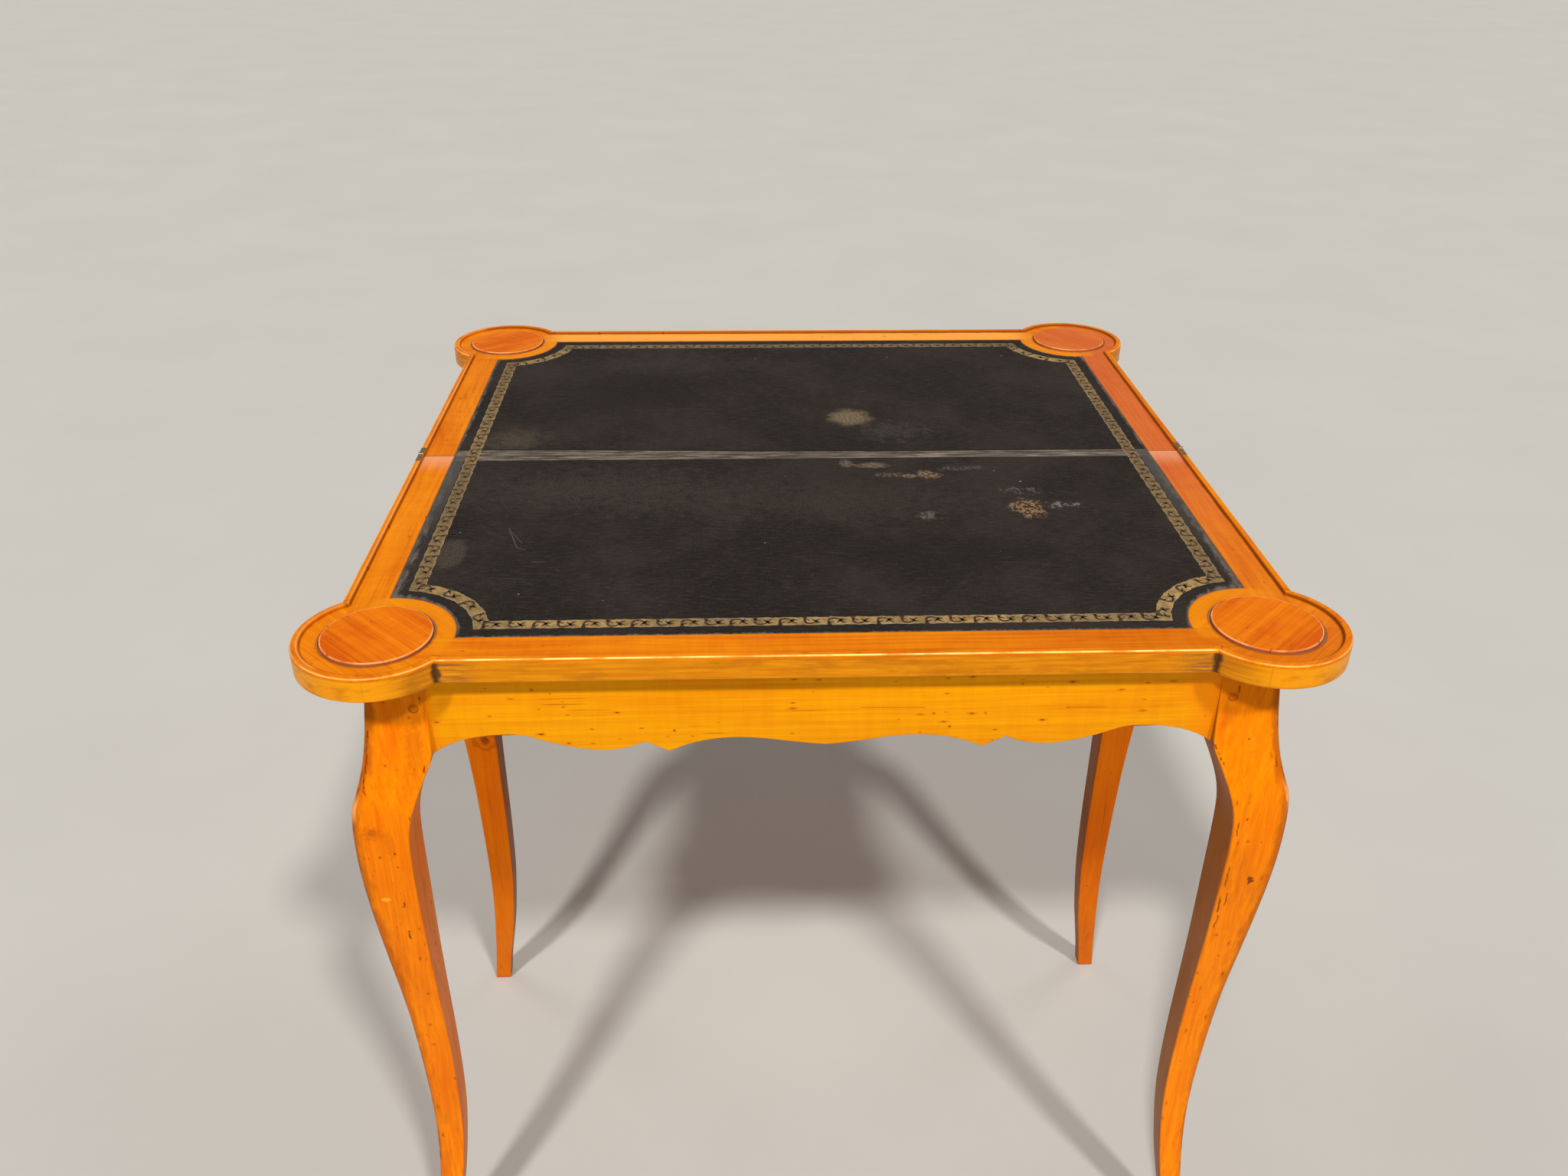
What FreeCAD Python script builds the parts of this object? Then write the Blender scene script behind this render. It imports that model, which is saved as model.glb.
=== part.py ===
import FreeCAD, Part
import Sketcher
import math
import os
import re

# Games table with a fold-over top. The origin is on the floor under the middle of
# the fold line, X runs along the fold, the front is at -Y and Z is up. The table
# stands with its rear leaf unfolded flat and its top not swivelled.

doc = FreeCAD.newDocument("GamesTable")
sheet = doc.addObject("Spreadsheet::Sheet", "Sizes")

SIZES = [
    ("top_side", 810, "side of the open square top"),
    ("top_height", 735, "floor to the upper face of the lip"),
    ("leaf_thickness", 22, "edge height of each leaf"),
    ("fold_gap", 0.3, "gap between the leaves at the fold"),
    ("overrun", 5, "how far a cutting shape runs past its work"),
    ("lobe_inset", 41, "corner of the square to the centre of a lobe, along each side"),
    ("lobe_radius", 67.3, "outer radius of a corner lobe"),
    ("lip_width", 7, "width of the raised lip"),
    ("lip_rise", 2.5, "lip above the wooden field"),
    ("lip_round", 2.2, "rounding of the outer upper arris"),
    ("lip_ease", 0.8, "rounding of the inner upper arris"),
    ("under_round", 1.5, "rounding of the lower arris"),
    ("band_width", 30.8, "lip to leather"),
    ("band_thickness", 1.5, "border bands and lobe rings"),
    ("leather_thickness", 1.3, "leather panel"),
    ("hollow_radius", 63, "hollow corner of the leather, about the lobe's centre"),
    ("disc_radius", 44.8, "candle disc in each lobe"),
    ("disc_groove", 1.2, "sunk line round a disc"),
    ("disc_ease", 0.8, "rounding of a disc's arris"),
    ("base_width", 745.4, "over the leg blocks, along X"),
    ("base_depth", 370.8, "over the leg blocks, along Y"),
    ("leg_block", 47, "side of a leg's square upper end"),
    ("slide_gap", 0.3, "leaf above its felt pads"),
    ("pad_thickness", 0.7, "felt pads on the frame"),
    ("pad_length", 96, "felt pads on the frame"),
    ("pad_width", 14, "felt pads on the frame"),
    ("pad_setback", 110, "leg block to the near end of a felt pad"),
    ("apron_depth", 79, "apron from the frame's top to its foot at a leg"),
    ("apron_thickness", 20, "apron board"),
    ("tenon_thickness", 8, "apron tenon"),
    ("tenon_length", 25, "apron tenon"),
    ("tenon_setback", 6, "apron face to tenon"),
    ("tenon_shoulder", 10, "frame's top to tenon"),
    ("tenon_height", 56, "apron tenon"),
    ("joint_gap", 0.1, "clearance of a glued joint"),
    ("peg_radius", 3.2, "tenon peg"),
    ("peg_inset", 10.3, "leg's inner side to the peg's centre"),
    ("peg_drop", 31.6, "frame's top to the peg's centre"),
    ("peg_length", 18, "peg behind the apron's face"),
    ("peg_proud", 0.1, "peg in front of the leg's face, at its lower side"),
    ("block_reach", 78, "corner block along each apron"),
    ("well_depth", 40, "frame's top to the floor of the well"),
    ("floor_thickness", 6, "floor board of the well"),
    ("batten_size", 10, "square battens"),
    ("divider_thickness", 12, "board that closes the well"),
    ("board_thickness", 18, "pivot board"),
    ("board_screw_radius", 2, "screws of the pivot board"),
    ("board_screw_head", 4, "screws of the pivot board"),
    ("board_screw_length", 25, "screws of the pivot board"),
    ("board_screw_end", 62, "end screws to the ends of the pivot board"),
    ("plate_radius", 35, "pivot plate under the front leaf"),
    ("plate_thickness", 3, "pivot plate"),
    ("plate_pitch", 26, "pivot plate's screws from its centre"),
    ("plate_screw_radius", 2, "pivot plate's screws"),
    ("plate_screw_head", 3.6, "pivot plate's screws"),
    ("plate_screw_length", 13, "pivot plate's screws"),
    ("stud_radius", 6, "pivot stud"),
    ("stud_tail", 4, "pivot stud below its nut"),
    ("run_gap", 0.1, "radial clearance of the pivot stud"),
    ("bush_radius", 9, "bush in the pivot board"),
    ("washer_radius", 15, "washer under the pivot board"),
    ("washer_thickness", 2, "washer under the pivot board"),
    ("nut_radius", 11, "corner radius of the nut"),
    ("nut_thickness", 8, "nut on the pivot stud"),
    ("stop_radius", 5, "stop peg under the front leaf"),
    ("stop_reach", 60, "pivot to stop peg"),
    ("stop_drop", 13, "stop peg below the leaf"),
    ("stop_root", 11, "stop peg inside the leaf"),
    ("stop_gap", 0.3, "stop peg to the walls of its slot"),
    ("hinge_width", 5.2, "brass strip let into the lip"),
    ("hinge_length", 17, "hinge pin to the end of a strip"),
    ("hinge_thickness", 1.8, "brass strip"),
    ("knuckle_radius", 1.9, "hinge knuckles"),
    ("knuckle_gap", 0.15, "knuckle to the metal and wood round it"),
    ("knuckle_width", 2, "middle knuckle, which is the rear leaf's"),
    ("knuckle_side_gap", 0.1, "middle knuckle to the one beside it"),
    ("hinge_pin_radius", 0.9, "hinge pin"),
    ("hinge_run_gap", 0.05, "hinge pin in the middle knuckle"),
    ("hinge_screw_radius", 0.9, "hinge screw"),
    ("hinge_screw_head", 1.7, "hinge screw"),
    ("hinge_screw_length", 11, "hinge screw"),
    ("hinge_screw_start", 5.4, "hinge pin to the first screw"),
    ("hinge_screw_step", 7.4, "between hinge screws"),
    ("slot_width", 0.5, "driver slot in a screw's head"),
    ("slot_depth", 0.4, "driver slot in a screw's head"),
]
for row, (alias, value, note) in enumerate(SIZES, start=1):
    sheet.set(f"A{row}", note)
    sheet.set(f"B{row}", str(value))
    sheet.setAlias(f"B{row}", alias)
doc.recompute()

# Places that several pieces share, worked out from the sizes above.
HALF = "(top_side / 2)"
LOBE = "(top_side / 2 - lobe_inset)"
FIELD_EDGE = "(top_side / 2 - lip_width)"
LEATHER_EDGE = "(top_side / 2 - lip_width - band_width)"
FOLD = "(fold_gap / 2)"
LEAF_LOW = "(top_height - leaf_thickness)"
FIELD_TOP = "(top_height - lip_rise)"
CORE_TOP = "(top_height - lip_rise - band_thickness)"
FRAME_TOP = "(top_height - leaf_thickness - slide_gap - pad_thickness)"
BASE_MIDDLE = "(top_side / 4)"
BASE_SIDE = "(base_width / 2)"
BASE_FRONT = "(top_side / 4 + base_depth / 2)"
BASE_REAR = "(top_side / 4 - base_depth / 2)"
WELL_SIDE = "(base_width / 2 - apron_thickness)"
WELL_FRONT = "(top_side / 4 + base_depth / 2 - apron_thickness)"
WELL_REAR = "(top_side / 4 - base_depth / 2 + apron_thickness)"
WELL_LOW = f"({FRAME_TOP} - well_depth - floor_thickness)"
BATTEN_LOW = f"({WELL_LOW} - batten_size)"
BOARD_BATTEN_LOW = f"({FRAME_TOP} - board_thickness - batten_size)"
PIVOT = "(top_side / 8)"
PIN_HEIGHT = "(top_height + fold_gap / 2)"
HINGE_MIDDLE = "(top_side / 2 - lip_width / 2)"

# A leg's outline: share of the height down from the top, then share of the block's
# side that the outer face stands out, or that the inner face lies behind the block's
# outer face.
LEG_OUTER_SHARES = [
    (0, 0), (0.05, 0.075), (0.098, 0.17), (0.136, 0.30), (0.173, 0.46), (0.215, 0.52), (0.27, 0.515),
    (0.34, 0.45), (0.43, 0.33), (0.52, 0.21), (0.61, 0.14), (0.70, 0.097), (0.765, 0.103),
    (0.825, 0.15), (0.88, 0.22), (1, 0.42),
]
LEG_INNER_SHARES = [
    (0.111, 1), (0.1615, 0.668), (0.2, 0.50), (0.245, 0.454), (0.32, 0.455), (0.45, 0.462),
    (0.566, 0.489), (0.68, 0.496), (0.747, 0.464), (0.806, 0.389), (0.864, 0.285), (0.91, 0.17),
    (1, -0.023),
]

# The scalloped edge of a long apron: share of the half length from the middle, then
# share of the apron's depth. It runs from the foot at a leg to a notch, straight to a
# point, and on to the middle.
SCALLOP_OUTER_SHARES = [
    (1, 1), (0.955, 0.886), (0.921, 0.835), (0.832, 0.778), (0.765, 0.797), (0.712, 0.873),
    (0.64, 0.955), (0.568, 0.994), (0.51, 0.965), (0.463, 0.892),
]
SCALLOP_INNER_SHARES = [(0.402, 1.019), (0.33, 0.905), (0.23, 0.854), (0.11, 0.904), (0, 0.962)]
SIDE_EDGE_SHARES = [(1, 1), (0.86, 0.835), (0.7, 0.785), (0.5, 0.82), (0.25, 0.93), (0, 0.975)]

X_AXIS = FreeCAD.Vector(1, 0, 0)
Y_AXIS = FreeCAD.Vector(0, 1, 0)
Z_AXIS = FreeCAD.Vector(0, 0, 1)
PLACES = {"x": "Placement.Base.x", "y": "Placement.Base.y", "z": "Placement.Base.z"}
pieces = {}


def formula(text):
    """Spell a sum of sheet names as the expression engine reads it."""
    return re.sub(r"[a-z][a-z_]*", lambda word: "Sizes." + word.group(), text)


def size(text):
    """The number that a sum of sheet names gives."""
    return float(sheet.evalExpression(formula(text)))


def bind(thing, **sizes):
    """Tie properties of an object to the sheet. x, y and z are its position."""
    for name, text in sizes.items():
        thing.setExpression(PLACES.get(name, name), formula(text))
    return thing


def keep(node, thing):
    """Give a finished sub-part its name and list it for export."""
    thing.Label = node
    pieces[node] = thing
    return thing


def box(name, x, y, z):
    """A box between two corners, each pair of sums its low and high place."""
    block = doc.addObject("Part::Box", name)
    spans = [f"{high} - ({low})" for low, high in (x, y, z)]
    return bind(block, Length=spans[0], Width=spans[1], Height=spans[2], x=x[0], y=y[0], z=z[0])


def rod(name, radius, x, y, z):
    """A cylinder: the one of x, y and z that is a pair is its span."""
    shaft = doc.addObject("Part::Cylinder", name)
    turns = {0: (Y_AXIS, 90), 1: (X_AXIS, -90), 2: (Z_AXIS, 0)}
    along = next(index for index, place in enumerate((x, y, z)) if isinstance(place, tuple))
    shaft.Placement.Rotation = FreeCAD.Rotation(*turns[along])
    low, high = (x, y, z)[along]
    starts = [place[0] if isinstance(place, tuple) else place for place in (x, y, z)]
    return bind(shaft, Radius=radius, Height=f"{high} - ({low})", x=starts[0], y=starts[1], z=starts[2])


def cone(name, low_radius, high_radius, x, y, z):
    """An upright cone. z is its low and high place."""
    flare = doc.addObject("Part::Cone", name)
    return bind(flare, Radius1=low_radius, Radius2=high_radius, Height=f"{z[1]} - ({z[0]})",
                x=x, y=y, z=z[0])


def join(name, *things):
    """Several shapes as one."""
    if len(things) == 1:
        return things[0]
    whole = doc.addObject("Part::MultiFuse", name)
    whole.Shapes = list(things)
    return whole


def group(name, *things):
    """Separate solids in one node."""
    bundle = doc.addObject("Part::Compound", name)
    bundle.Links = list(things)
    return bundle


def cut(name, work, *tools):
    """Work with every tool taken away."""
    rest = doc.addObject("Part::Cut", name)
    rest.Base = work
    rest.Tool = join(name + "_tools", *tools)
    return rest


def common(name, first, second):
    """What two shapes share."""
    shared = doc.addObject("Part::Common", name)
    shared.Base = first
    shared.Tool = second
    return shared


def mirror(name, source, normal, **middle):
    """The source on the other side of a plane through the origin, or through middle."""
    other = doc.addObject("Part::Mirroring", name)
    other.Source = source
    other.Normal = normal
    for axis, text in middle.items():
        other.setExpression("Base." + axis, formula(text))
    return other


def extrude(name, face, direction, ahead, behind="0"):
    """A face pushed along a direction, ahead of it and behind it."""
    solid = doc.addObject("Part::Extrusion", name)
    solid.Base = face
    solid.DirMode = "Custom"
    solid.Dir = direction
    solid.Solid = True
    return bind(solid, LengthFwd=ahead, LengthRev=behind)


def profile(name, edges):
    """A flat face from its edges in order."""
    face = doc.addObject("Part::Feature", name)
    face.Shape = Part.Face(Part.Wire(edges))
    return face


def spline(points):
    """A smooth curve through points."""
    curve = Part.BSplineCurve()
    curve.interpolate(points)
    return curve.toShape()


def screw(name, radius, head, length, x, y, top, turn="up"):
    """A countersunk wood screw with its slotted head flush at top."""
    below = "-" if turn == "up" else "+"
    point = f"{top} {below} {length}"
    neck = f"{top} {below} ({head} - {radius})"
    if turn == "up":
        shank = rod(name + "_shank", radius, x, y, (point, neck))
        flare = cone(name + "_flare", radius, head, x, y, (neck, top))
        groove = (f"{top} - slot_depth", f"{top} + overrun")
    else:
        shank = rod(name + "_shank", radius, x, y, (neck, point))
        flare = cone(name + "_flare", head, radius, x, y, (top, neck))
        groove = (f"{top} - overrun", f"{top} + slot_depth")
    body = join(name + "_body", shank, flare)
    across = (f"{x} - {head} - overrun", f"{x} + {head} + overrun")
    slot = box(name + "_slot", across, (f"{y} - slot_width / 2", f"{y} + slot_width / 2"), groove)
    return cut(name, body, slot), body


def leg_outline():
    """Face of a leg seen from the side, with the block's outer face at X = 0."""
    top = size(FRAME_TOP)
    side = size("leg_block")

    def spot(drop_share, inset_share):
        return FreeCAD.Vector(inset_share * side, 0, top * (1 - drop_share))

    outer = [spot(drop, -out) for drop, out in LEG_OUTER_SHARES]
    inner = [spot(drop, inset) for drop, inset in LEG_INNER_SHARES]
    corner = spot(0, 1)
    return [
        Part.makeLine(outer[0], corner),
        Part.makeLine(corner, inner[0]),
        spline(inner),
        Part.makeLine(inner[-1], outer[-1]),
        spline(outer[::-1]),
    ]


def make_legs():
    """Four square cabriole legs, the same curve seen from the front and the side."""
    front_view = profile("leg_front_view", leg_outline())
    side_view = profile("leg_side_view", leg_outline())
    side_view.Placement = FreeCAD.Placement(FreeCAD.Vector(), FreeCAD.Rotation(Z_AXIS, 90))
    along_y = extrude("leg_along_y", front_view, Y_AXIS, "2 * leg_block", "leg_block")
    along_x = extrude("leg_along_x", side_view, X_AXIS, "2 * leg_block", "leg_block")
    blank = common("leg_blank", along_y, along_x)
    bind(blank, x=f"-{BASE_SIDE}", y=f"-{BASE_FRONT}")
    low = f"{FRAME_TOP} - tenon_shoulder - tenon_height - joint_gap"
    high = f"{FRAME_TOP} - tenon_shoulder + joint_gap"
    deep = "leg_block - tenon_length - joint_gap"
    near = "tenon_setback - joint_gap"
    far = "tenon_setback + tenon_thickness + joint_gap"
    long_mortise = box(
        "long_mortise",
        (f"-{BASE_SIDE} + {deep}", f"-{BASE_SIDE} + leg_block + overrun"),
        (f"-{BASE_FRONT} + {near}", f"-{BASE_FRONT} + {far}"), (low, high))
    short_mortise = box(
        "short_mortise", (f"-{BASE_SIDE} + {near}", f"-{BASE_SIDE} + {far}"),
        (f"-{BASE_FRONT} + {deep}", f"-{BASE_FRONT} + leg_block + overrun"), (low, high))
    peg_holes = [peg_rod("leg_peg_hole_" + way, way) for way in ("long", "short")]
    front_left = cut("leg_front_left", blank, long_mortise, short_mortise, *peg_holes)
    keep("leg_front_left", front_left)
    front_right = keep("leg_front_right", mirror("leg_front_right", front_left, X_AXIS))
    keep("leg_rear_left", mirror("leg_rear_left", front_left, Y_AXIS, y=f"-{BASE_MIDDLE}"))
    keep("leg_rear_right", mirror("leg_rear_right", front_right, Y_AXIS, y=f"-{BASE_MIDDLE}"))


def peg_rod(name, way, front="leg_block"):
    """The hole or peg of the front left leg, through its long or its short apron's tenon.
    front is its reach in front of the leg block, where the leg swells."""
    height = f"{FRAME_TOP} - peg_drop"
    inset = "leg_block - peg_inset"
    if way == "long":
        span = (f"-{BASE_FRONT} - {front}", f"-{BASE_FRONT} + peg_length")
        return rod(name, "peg_radius", f"-{BASE_SIDE} + {inset}", span, height)
    span = (f"-{BASE_SIDE} - {front}", f"-{BASE_SIDE} + peg_length")
    return rod(name, "peg_radius", span, f"-{BASE_FRONT} + {inset}", height)


def make_pegs():
    """Round pegs that end at the swelling faces of the legs."""
    drop_share, out_share = LEG_OUTER_SHARES[1]
    swell = f"(peg_drop + peg_radius) / {FRAME_TOP} * leg_block * {out_share / drop_share}"
    front = f"({swell} + peg_proud)"
    pegs = [peg_rod("front_left_peg_" + way, way, front) for way in ("long", "short")]
    pegs += [mirror(peg.Name + "_right", peg, X_AXIS) for peg in pegs]
    pegs += [mirror(peg.Name + "_rear", peg, Y_AXIS, y=f"-{BASE_MIDDLE}") for peg in pegs]
    keep("tenon_pegs", group("tenon_pegs", *pegs))


def apron_outline(half_length, runs):
    """Face of an apron seen from outside, centred on X = 0."""
    top = size(FRAME_TOP)
    depth = size("apron_depth")
    half = size(half_length)

    def spot(along_share, depth_share):
        return FreeCAD.Vector(along_share * half, 0, top - depth_share * depth)

    right = [[spot(*share) for share in run] for run in runs]
    left = [[FreeCAD.Vector(-point.x, point.y, point.z) for point in run] for run in right]
    edges = [Part.makeLine(spot(-1, 0), spot(1, 0)), Part.makeLine(spot(1, 0), right[0][0])]
    for index, run in enumerate(right):
        edges.append(spline(run))
        if index + 1 < len(right):
            edges.append(Part.makeLine(run[-1], right[index + 1][0]))
    for index, run in reversed(list(enumerate(left))):
        edges.append(spline(run[::-1]))
        if index:
            edges.append(Part.makeLine(run[0], left[index - 1][-1]))
    edges.append(Part.makeLine(left[0][0], spot(-1, 0)))
    return edges


def make_aprons():
    """Front and rear aprons with a scalloped edge, side aprons with a plain wave."""
    low = f"{FRAME_TOP} - tenon_shoulder - tenon_height"
    high = f"{FRAME_TOP} - tenon_shoulder"
    holes = [peg_rod("apron_peg_hole_" + way, way) for way in ("long", "short")]

    face = profile("long_apron_face", apron_outline(
        f"{BASE_SIDE} - leg_block", [SCALLOP_OUTER_SHARES, SCALLOP_INNER_SHARES]))
    board = extrude("long_apron_board", face, Y_AXIS, "apron_thickness")
    bind(board, y=f"-{BASE_FRONT}")
    reach = f"{BASE_SIDE} - leg_block + tenon_length"
    tenon = box(
        "long_tenon", (f"-({reach})", reach),
        (f"-{BASE_FRONT} + tenon_setback", f"-{BASE_FRONT} + tenon_setback + tenon_thickness"), (low, high))
    hole_pair = [holes[0], mirror("long_hole_right", holes[0], X_AXIS)]
    front = keep("apron_front", cut("apron_front", join("long_apron", board, tenon), *hole_pair))
    keep("apron_rear", mirror("apron_rear", front, Y_AXIS, y=f"-{BASE_MIDDLE}"))

    face = profile("short_apron_face", apron_outline("base_depth / 2 - leg_block", [SIDE_EDGE_SHARES]))
    face.Placement = FreeCAD.Placement(FreeCAD.Vector(), FreeCAD.Rotation(Z_AXIS, 90))
    board = extrude("short_apron_board", face, X_AXIS, "apron_thickness")
    bind(board, x=f"-{BASE_SIDE}", y=f"-{BASE_MIDDLE}")
    reach = "leg_block - tenon_length"
    tenon = box(
        "short_tenon", (f"-{BASE_SIDE} + tenon_setback", f"-{BASE_SIDE} + tenon_setback + tenon_thickness"),
        (f"-{BASE_FRONT} + {reach}", f"-{BASE_REAR} - ({reach})"), (low, high))
    hole_pair = [holes[1], mirror("short_hole_rear", holes[1], Y_AXIS, y=f"-{BASE_MIDDLE}")]
    left = keep("apron_left", cut("apron_left", join("short_apron", board, tenon), *hole_pair))
    keep("apron_right", mirror("apron_right", left, X_AXIS))


def leg_room(name, side, end, low, high):
    """The space that a leg block takes inside the frame, for notching a board."""
    x = (f"-{BASE_SIDE}", f"-{BASE_SIDE} + leg_block") if side < 0 else (
        f"{BASE_SIDE} - leg_block", BASE_SIDE)
    y = (f"-{BASE_FRONT}", f"-{BASE_FRONT} + leg_block") if end < 0 else (
        f"-{BASE_REAR} - leg_block", f"-{BASE_REAR}")
    return box(name, x, y, (low, high))


def corner_block(name, side, high):
    """A three-sided glue block behind a front leg, from the battens' level up to high."""
    x = f"-{WELL_SIDE}" if side < 0 else f"{WELL_SIDE} - block_reach"
    corner = f"-{WELL_SIDE}" if side < 0 else WELL_SIDE
    block = doc.addObject("Part::Prism", name + "_prism")
    block.Polygon = 4
    bind(block, Circumradius="block_reach", Height=f"{high} - {BATTEN_LOW}",
         x=corner, y=f"-{WELL_FRONT}", z=BATTEN_LOW)
    quarter = box(name + "_quarter", (x, f"{x} + block_reach"),
                  (f"-{WELL_FRONT}", f"-{WELL_FRONT} + block_reach"), (BATTEN_LOW, high))
    room = leg_room(name + "_leg_room", side, -1, f"{BATTEN_LOW} - overrun", f"{high} + overrun")
    return cut(name, common(name + "_wedge", block, quarter), room)


def make_corner_blocks():
    """Glue blocks under the well's floor on the left, under the pivot board's battens on the right."""
    left = corner_block("corner_block_left", -1, WELL_LOW)
    right = corner_block("corner_block_right", 1, BOARD_BATTEN_LOW)
    rear = [mirror(item.Name + "_rear", item, Y_AXIS, y=f"-{BASE_MIDDLE}") for item in (left, right)]
    keep("corner_blocks", group("corner_blocks", left, right, *rear))


def make_well():
    """The games well in the left half: floor board and divider."""
    rooms = [leg_room(f"floor_leg_room_{end}", -1, end, BATTEN_LOW, FRAME_TOP) for end in (-1, 1)]
    floor = box("well_floor_board", (f"-{WELL_SIDE}", "0"),
                (f"-{WELL_FRONT}", f"-{WELL_REAR}"), (WELL_LOW, f"{WELL_LOW} + floor_thickness"))
    keep("well_floor", cut("well_floor", floor, *rooms))
    keep("well_divider", box("well_divider", ("0", "divider_thickness"),
                             (f"-{WELL_FRONT}", f"-{WELL_REAR}"), (BATTEN_LOW, FRAME_TOP)))


def make_battens():
    """Square battens glued to the aprons, under the well's floor and the pivot board."""
    floor_level = (BATTEN_LOW, WELL_LOW)
    board_level = (BOARD_BATTEN_LOW, f"{BOARD_BATTEN_LOW} + batten_size")
    front_edge = (f"-{WELL_FRONT}", f"-{WELL_FRONT} + batten_size")
    floor_long = box("floor_batten_front", (f"-{WELL_SIDE} + block_reach", "0"),
                     front_edge, floor_level)
    floor_end = box("floor_batten_end", (f"-{WELL_SIDE}", f"-{WELL_SIDE} + batten_size"),
                    (f"-{WELL_FRONT} + block_reach", f"-{WELL_REAR} - block_reach"), floor_level)
    board_long = box("board_batten_front", ("divider_thickness", f"{BASE_SIDE} - leg_block"),
                     front_edge, board_level)
    board_end = box("board_batten_end", (f"{WELL_SIDE} - batten_size", WELL_SIDE),
                    (f"-{BASE_FRONT} + leg_block", f"-{BASE_REAR} - leg_block"), board_level)
    holes = [item[1] for item in board_screws("batten_hole")]
    front = cut("board_batten_front_drilled", board_long, *holes[:2])
    rear = cut("board_batten_rear_drilled",
               mirror("board_batten_rear", board_long, Y_AXIS, y=f"-{BASE_MIDDLE}"), *holes[2:])
    floor_rear = mirror("floor_batten_rear", floor_long, Y_AXIS, y=f"-{BASE_MIDDLE}")
    keep("frame_battens", group("frame_battens", floor_long, floor_rear, floor_end, front, rear, board_end))


def board_screws(name):
    """Four screws down through the pivot board into its battens."""
    rows = {"front": f"-{WELL_FRONT} + batten_size / 2", "rear": f"-{WELL_REAR} - batten_size / 2"}
    spots = {"near": "divider_thickness + board_screw_end", "far": f"{WELL_SIDE} - board_screw_end"}
    return [
        screw(f"{name}_{end}_{place}", "board_screw_radius", "board_screw_head", "board_screw_length",
              x, y, FRAME_TOP)
        for end, y in rows.items()
        for place, x in spots.items()
    ]


def make_pivot_board():
    """The board that carries the pivot, with a quarter-round slot for the stop peg."""
    low = f"{FRAME_TOP} - board_thickness"
    span = (f"{low} - overrun", f"{FRAME_TOP} + overrun")
    blank = box("pivot_blank", ("divider_thickness", WELL_SIDE), (f"-{WELL_FRONT}", f"-{WELL_REAR}"),
                (low, FRAME_TOP))
    wide = "stop_radius + stop_gap"
    outer = rod("slot_outer", f"stop_reach + {wide}", PIVOT, f"-{PIVOT}", span)
    inner = rod("slot_inner", f"stop_reach - ({wide})", PIVOT, f"-{PIVOT}", span)
    quarter = box("slot_quarter", (PIVOT, f"{PIVOT} + stop_reach + 2 * ({wide})"),
                  (f"-{PIVOT} - stop_reach - 2 * ({wide})", f"-{PIVOT}"), span)
    arc = common("slot_arc", cut("slot_ring", outer, inner), quarter)
    start = rod("slot_start", wide, PIVOT, f"-{PIVOT} - stop_reach", span)
    end = rod("slot_end", wide, f"{PIVOT} + stop_reach", f"-{PIVOT}", span)
    bore = rod("bush_bore", "bush_radius", PIVOT, f"-{PIVOT}", span)
    rooms = [leg_room(f"board_leg_room_{side}", 1, side, *span) for side in (-1, 1)]
    holes = [item[1] for item in board_screws("board_hole")]
    keep("pivot_board", cut("pivot_board", blank, arc, start, end, bore, *rooms, *holes))
    screws = [item[0] for item in board_screws("board_screw")]
    keep("pivot_board_screws", group("pivot_board_screws", *screws))
    sleeve = rod("bush_sleeve", "bush_radius", PIVOT, f"-{PIVOT}", (low, FRAME_TOP))
    hole = rod("bush_hole", "stud_radius + run_gap", PIVOT, f"-{PIVOT}", span)
    keep("pivot_bush", cut("pivot_bush", sleeve, hole))


def make_pads():
    """Felt strips on the upper edge of the frame, on which the leaf slides."""
    high = f"{FRAME_TOP} + pad_thickness"
    start = f"-{BASE_SIDE} + leg_block + pad_setback"
    middle = f"-{BASE_FRONT} + apron_thickness / 2"
    front_left = box("pad_front_left", (start, f"{start} + pad_length"),
                     (f"{middle} - pad_width / 2", f"{middle} + pad_width / 2"), (FRAME_TOP, high))
    middle = f"-{BASE_SIDE} + apron_thickness / 2"
    left = box("pad_left", (f"{middle} - pad_width / 2", f"{middle} + pad_width / 2"),
               (f"-{BASE_MIDDLE} - pad_length / 2", f"-{BASE_MIDDLE} + pad_length / 2"),
               (FRAME_TOP, high))
    front_right = mirror("pad_front_right", front_left, X_AXIS)
    right = mirror("pad_right", left, X_AXIS)
    rear = [mirror(item.Name + "_rear", item, Y_AXIS, y=f"-{BASE_MIDDLE}")
            for item in (front_left, front_right)]
    keep("felt_pads", group("felt_pads", front_left, front_right, *rear, left, right))


def plate_screws(name):
    """Four screws up through the pivot plate into the front leaf."""
    spots = [
        ("east", f"{PIVOT} + plate_pitch", f"-{PIVOT}"),
        ("west", f"{PIVOT} - plate_pitch", f"-{PIVOT}"),
        ("north", PIVOT, f"-{PIVOT} + plate_pitch"),
        ("south", PIVOT, f"-{PIVOT} - plate_pitch"),
    ]
    return [screw(f"{name}_{spot}", "plate_screw_radius", "plate_screw_head", "plate_screw_length",
                  x, y, LEAF_LOW, turn="down") for spot, x, y in spots]


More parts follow.
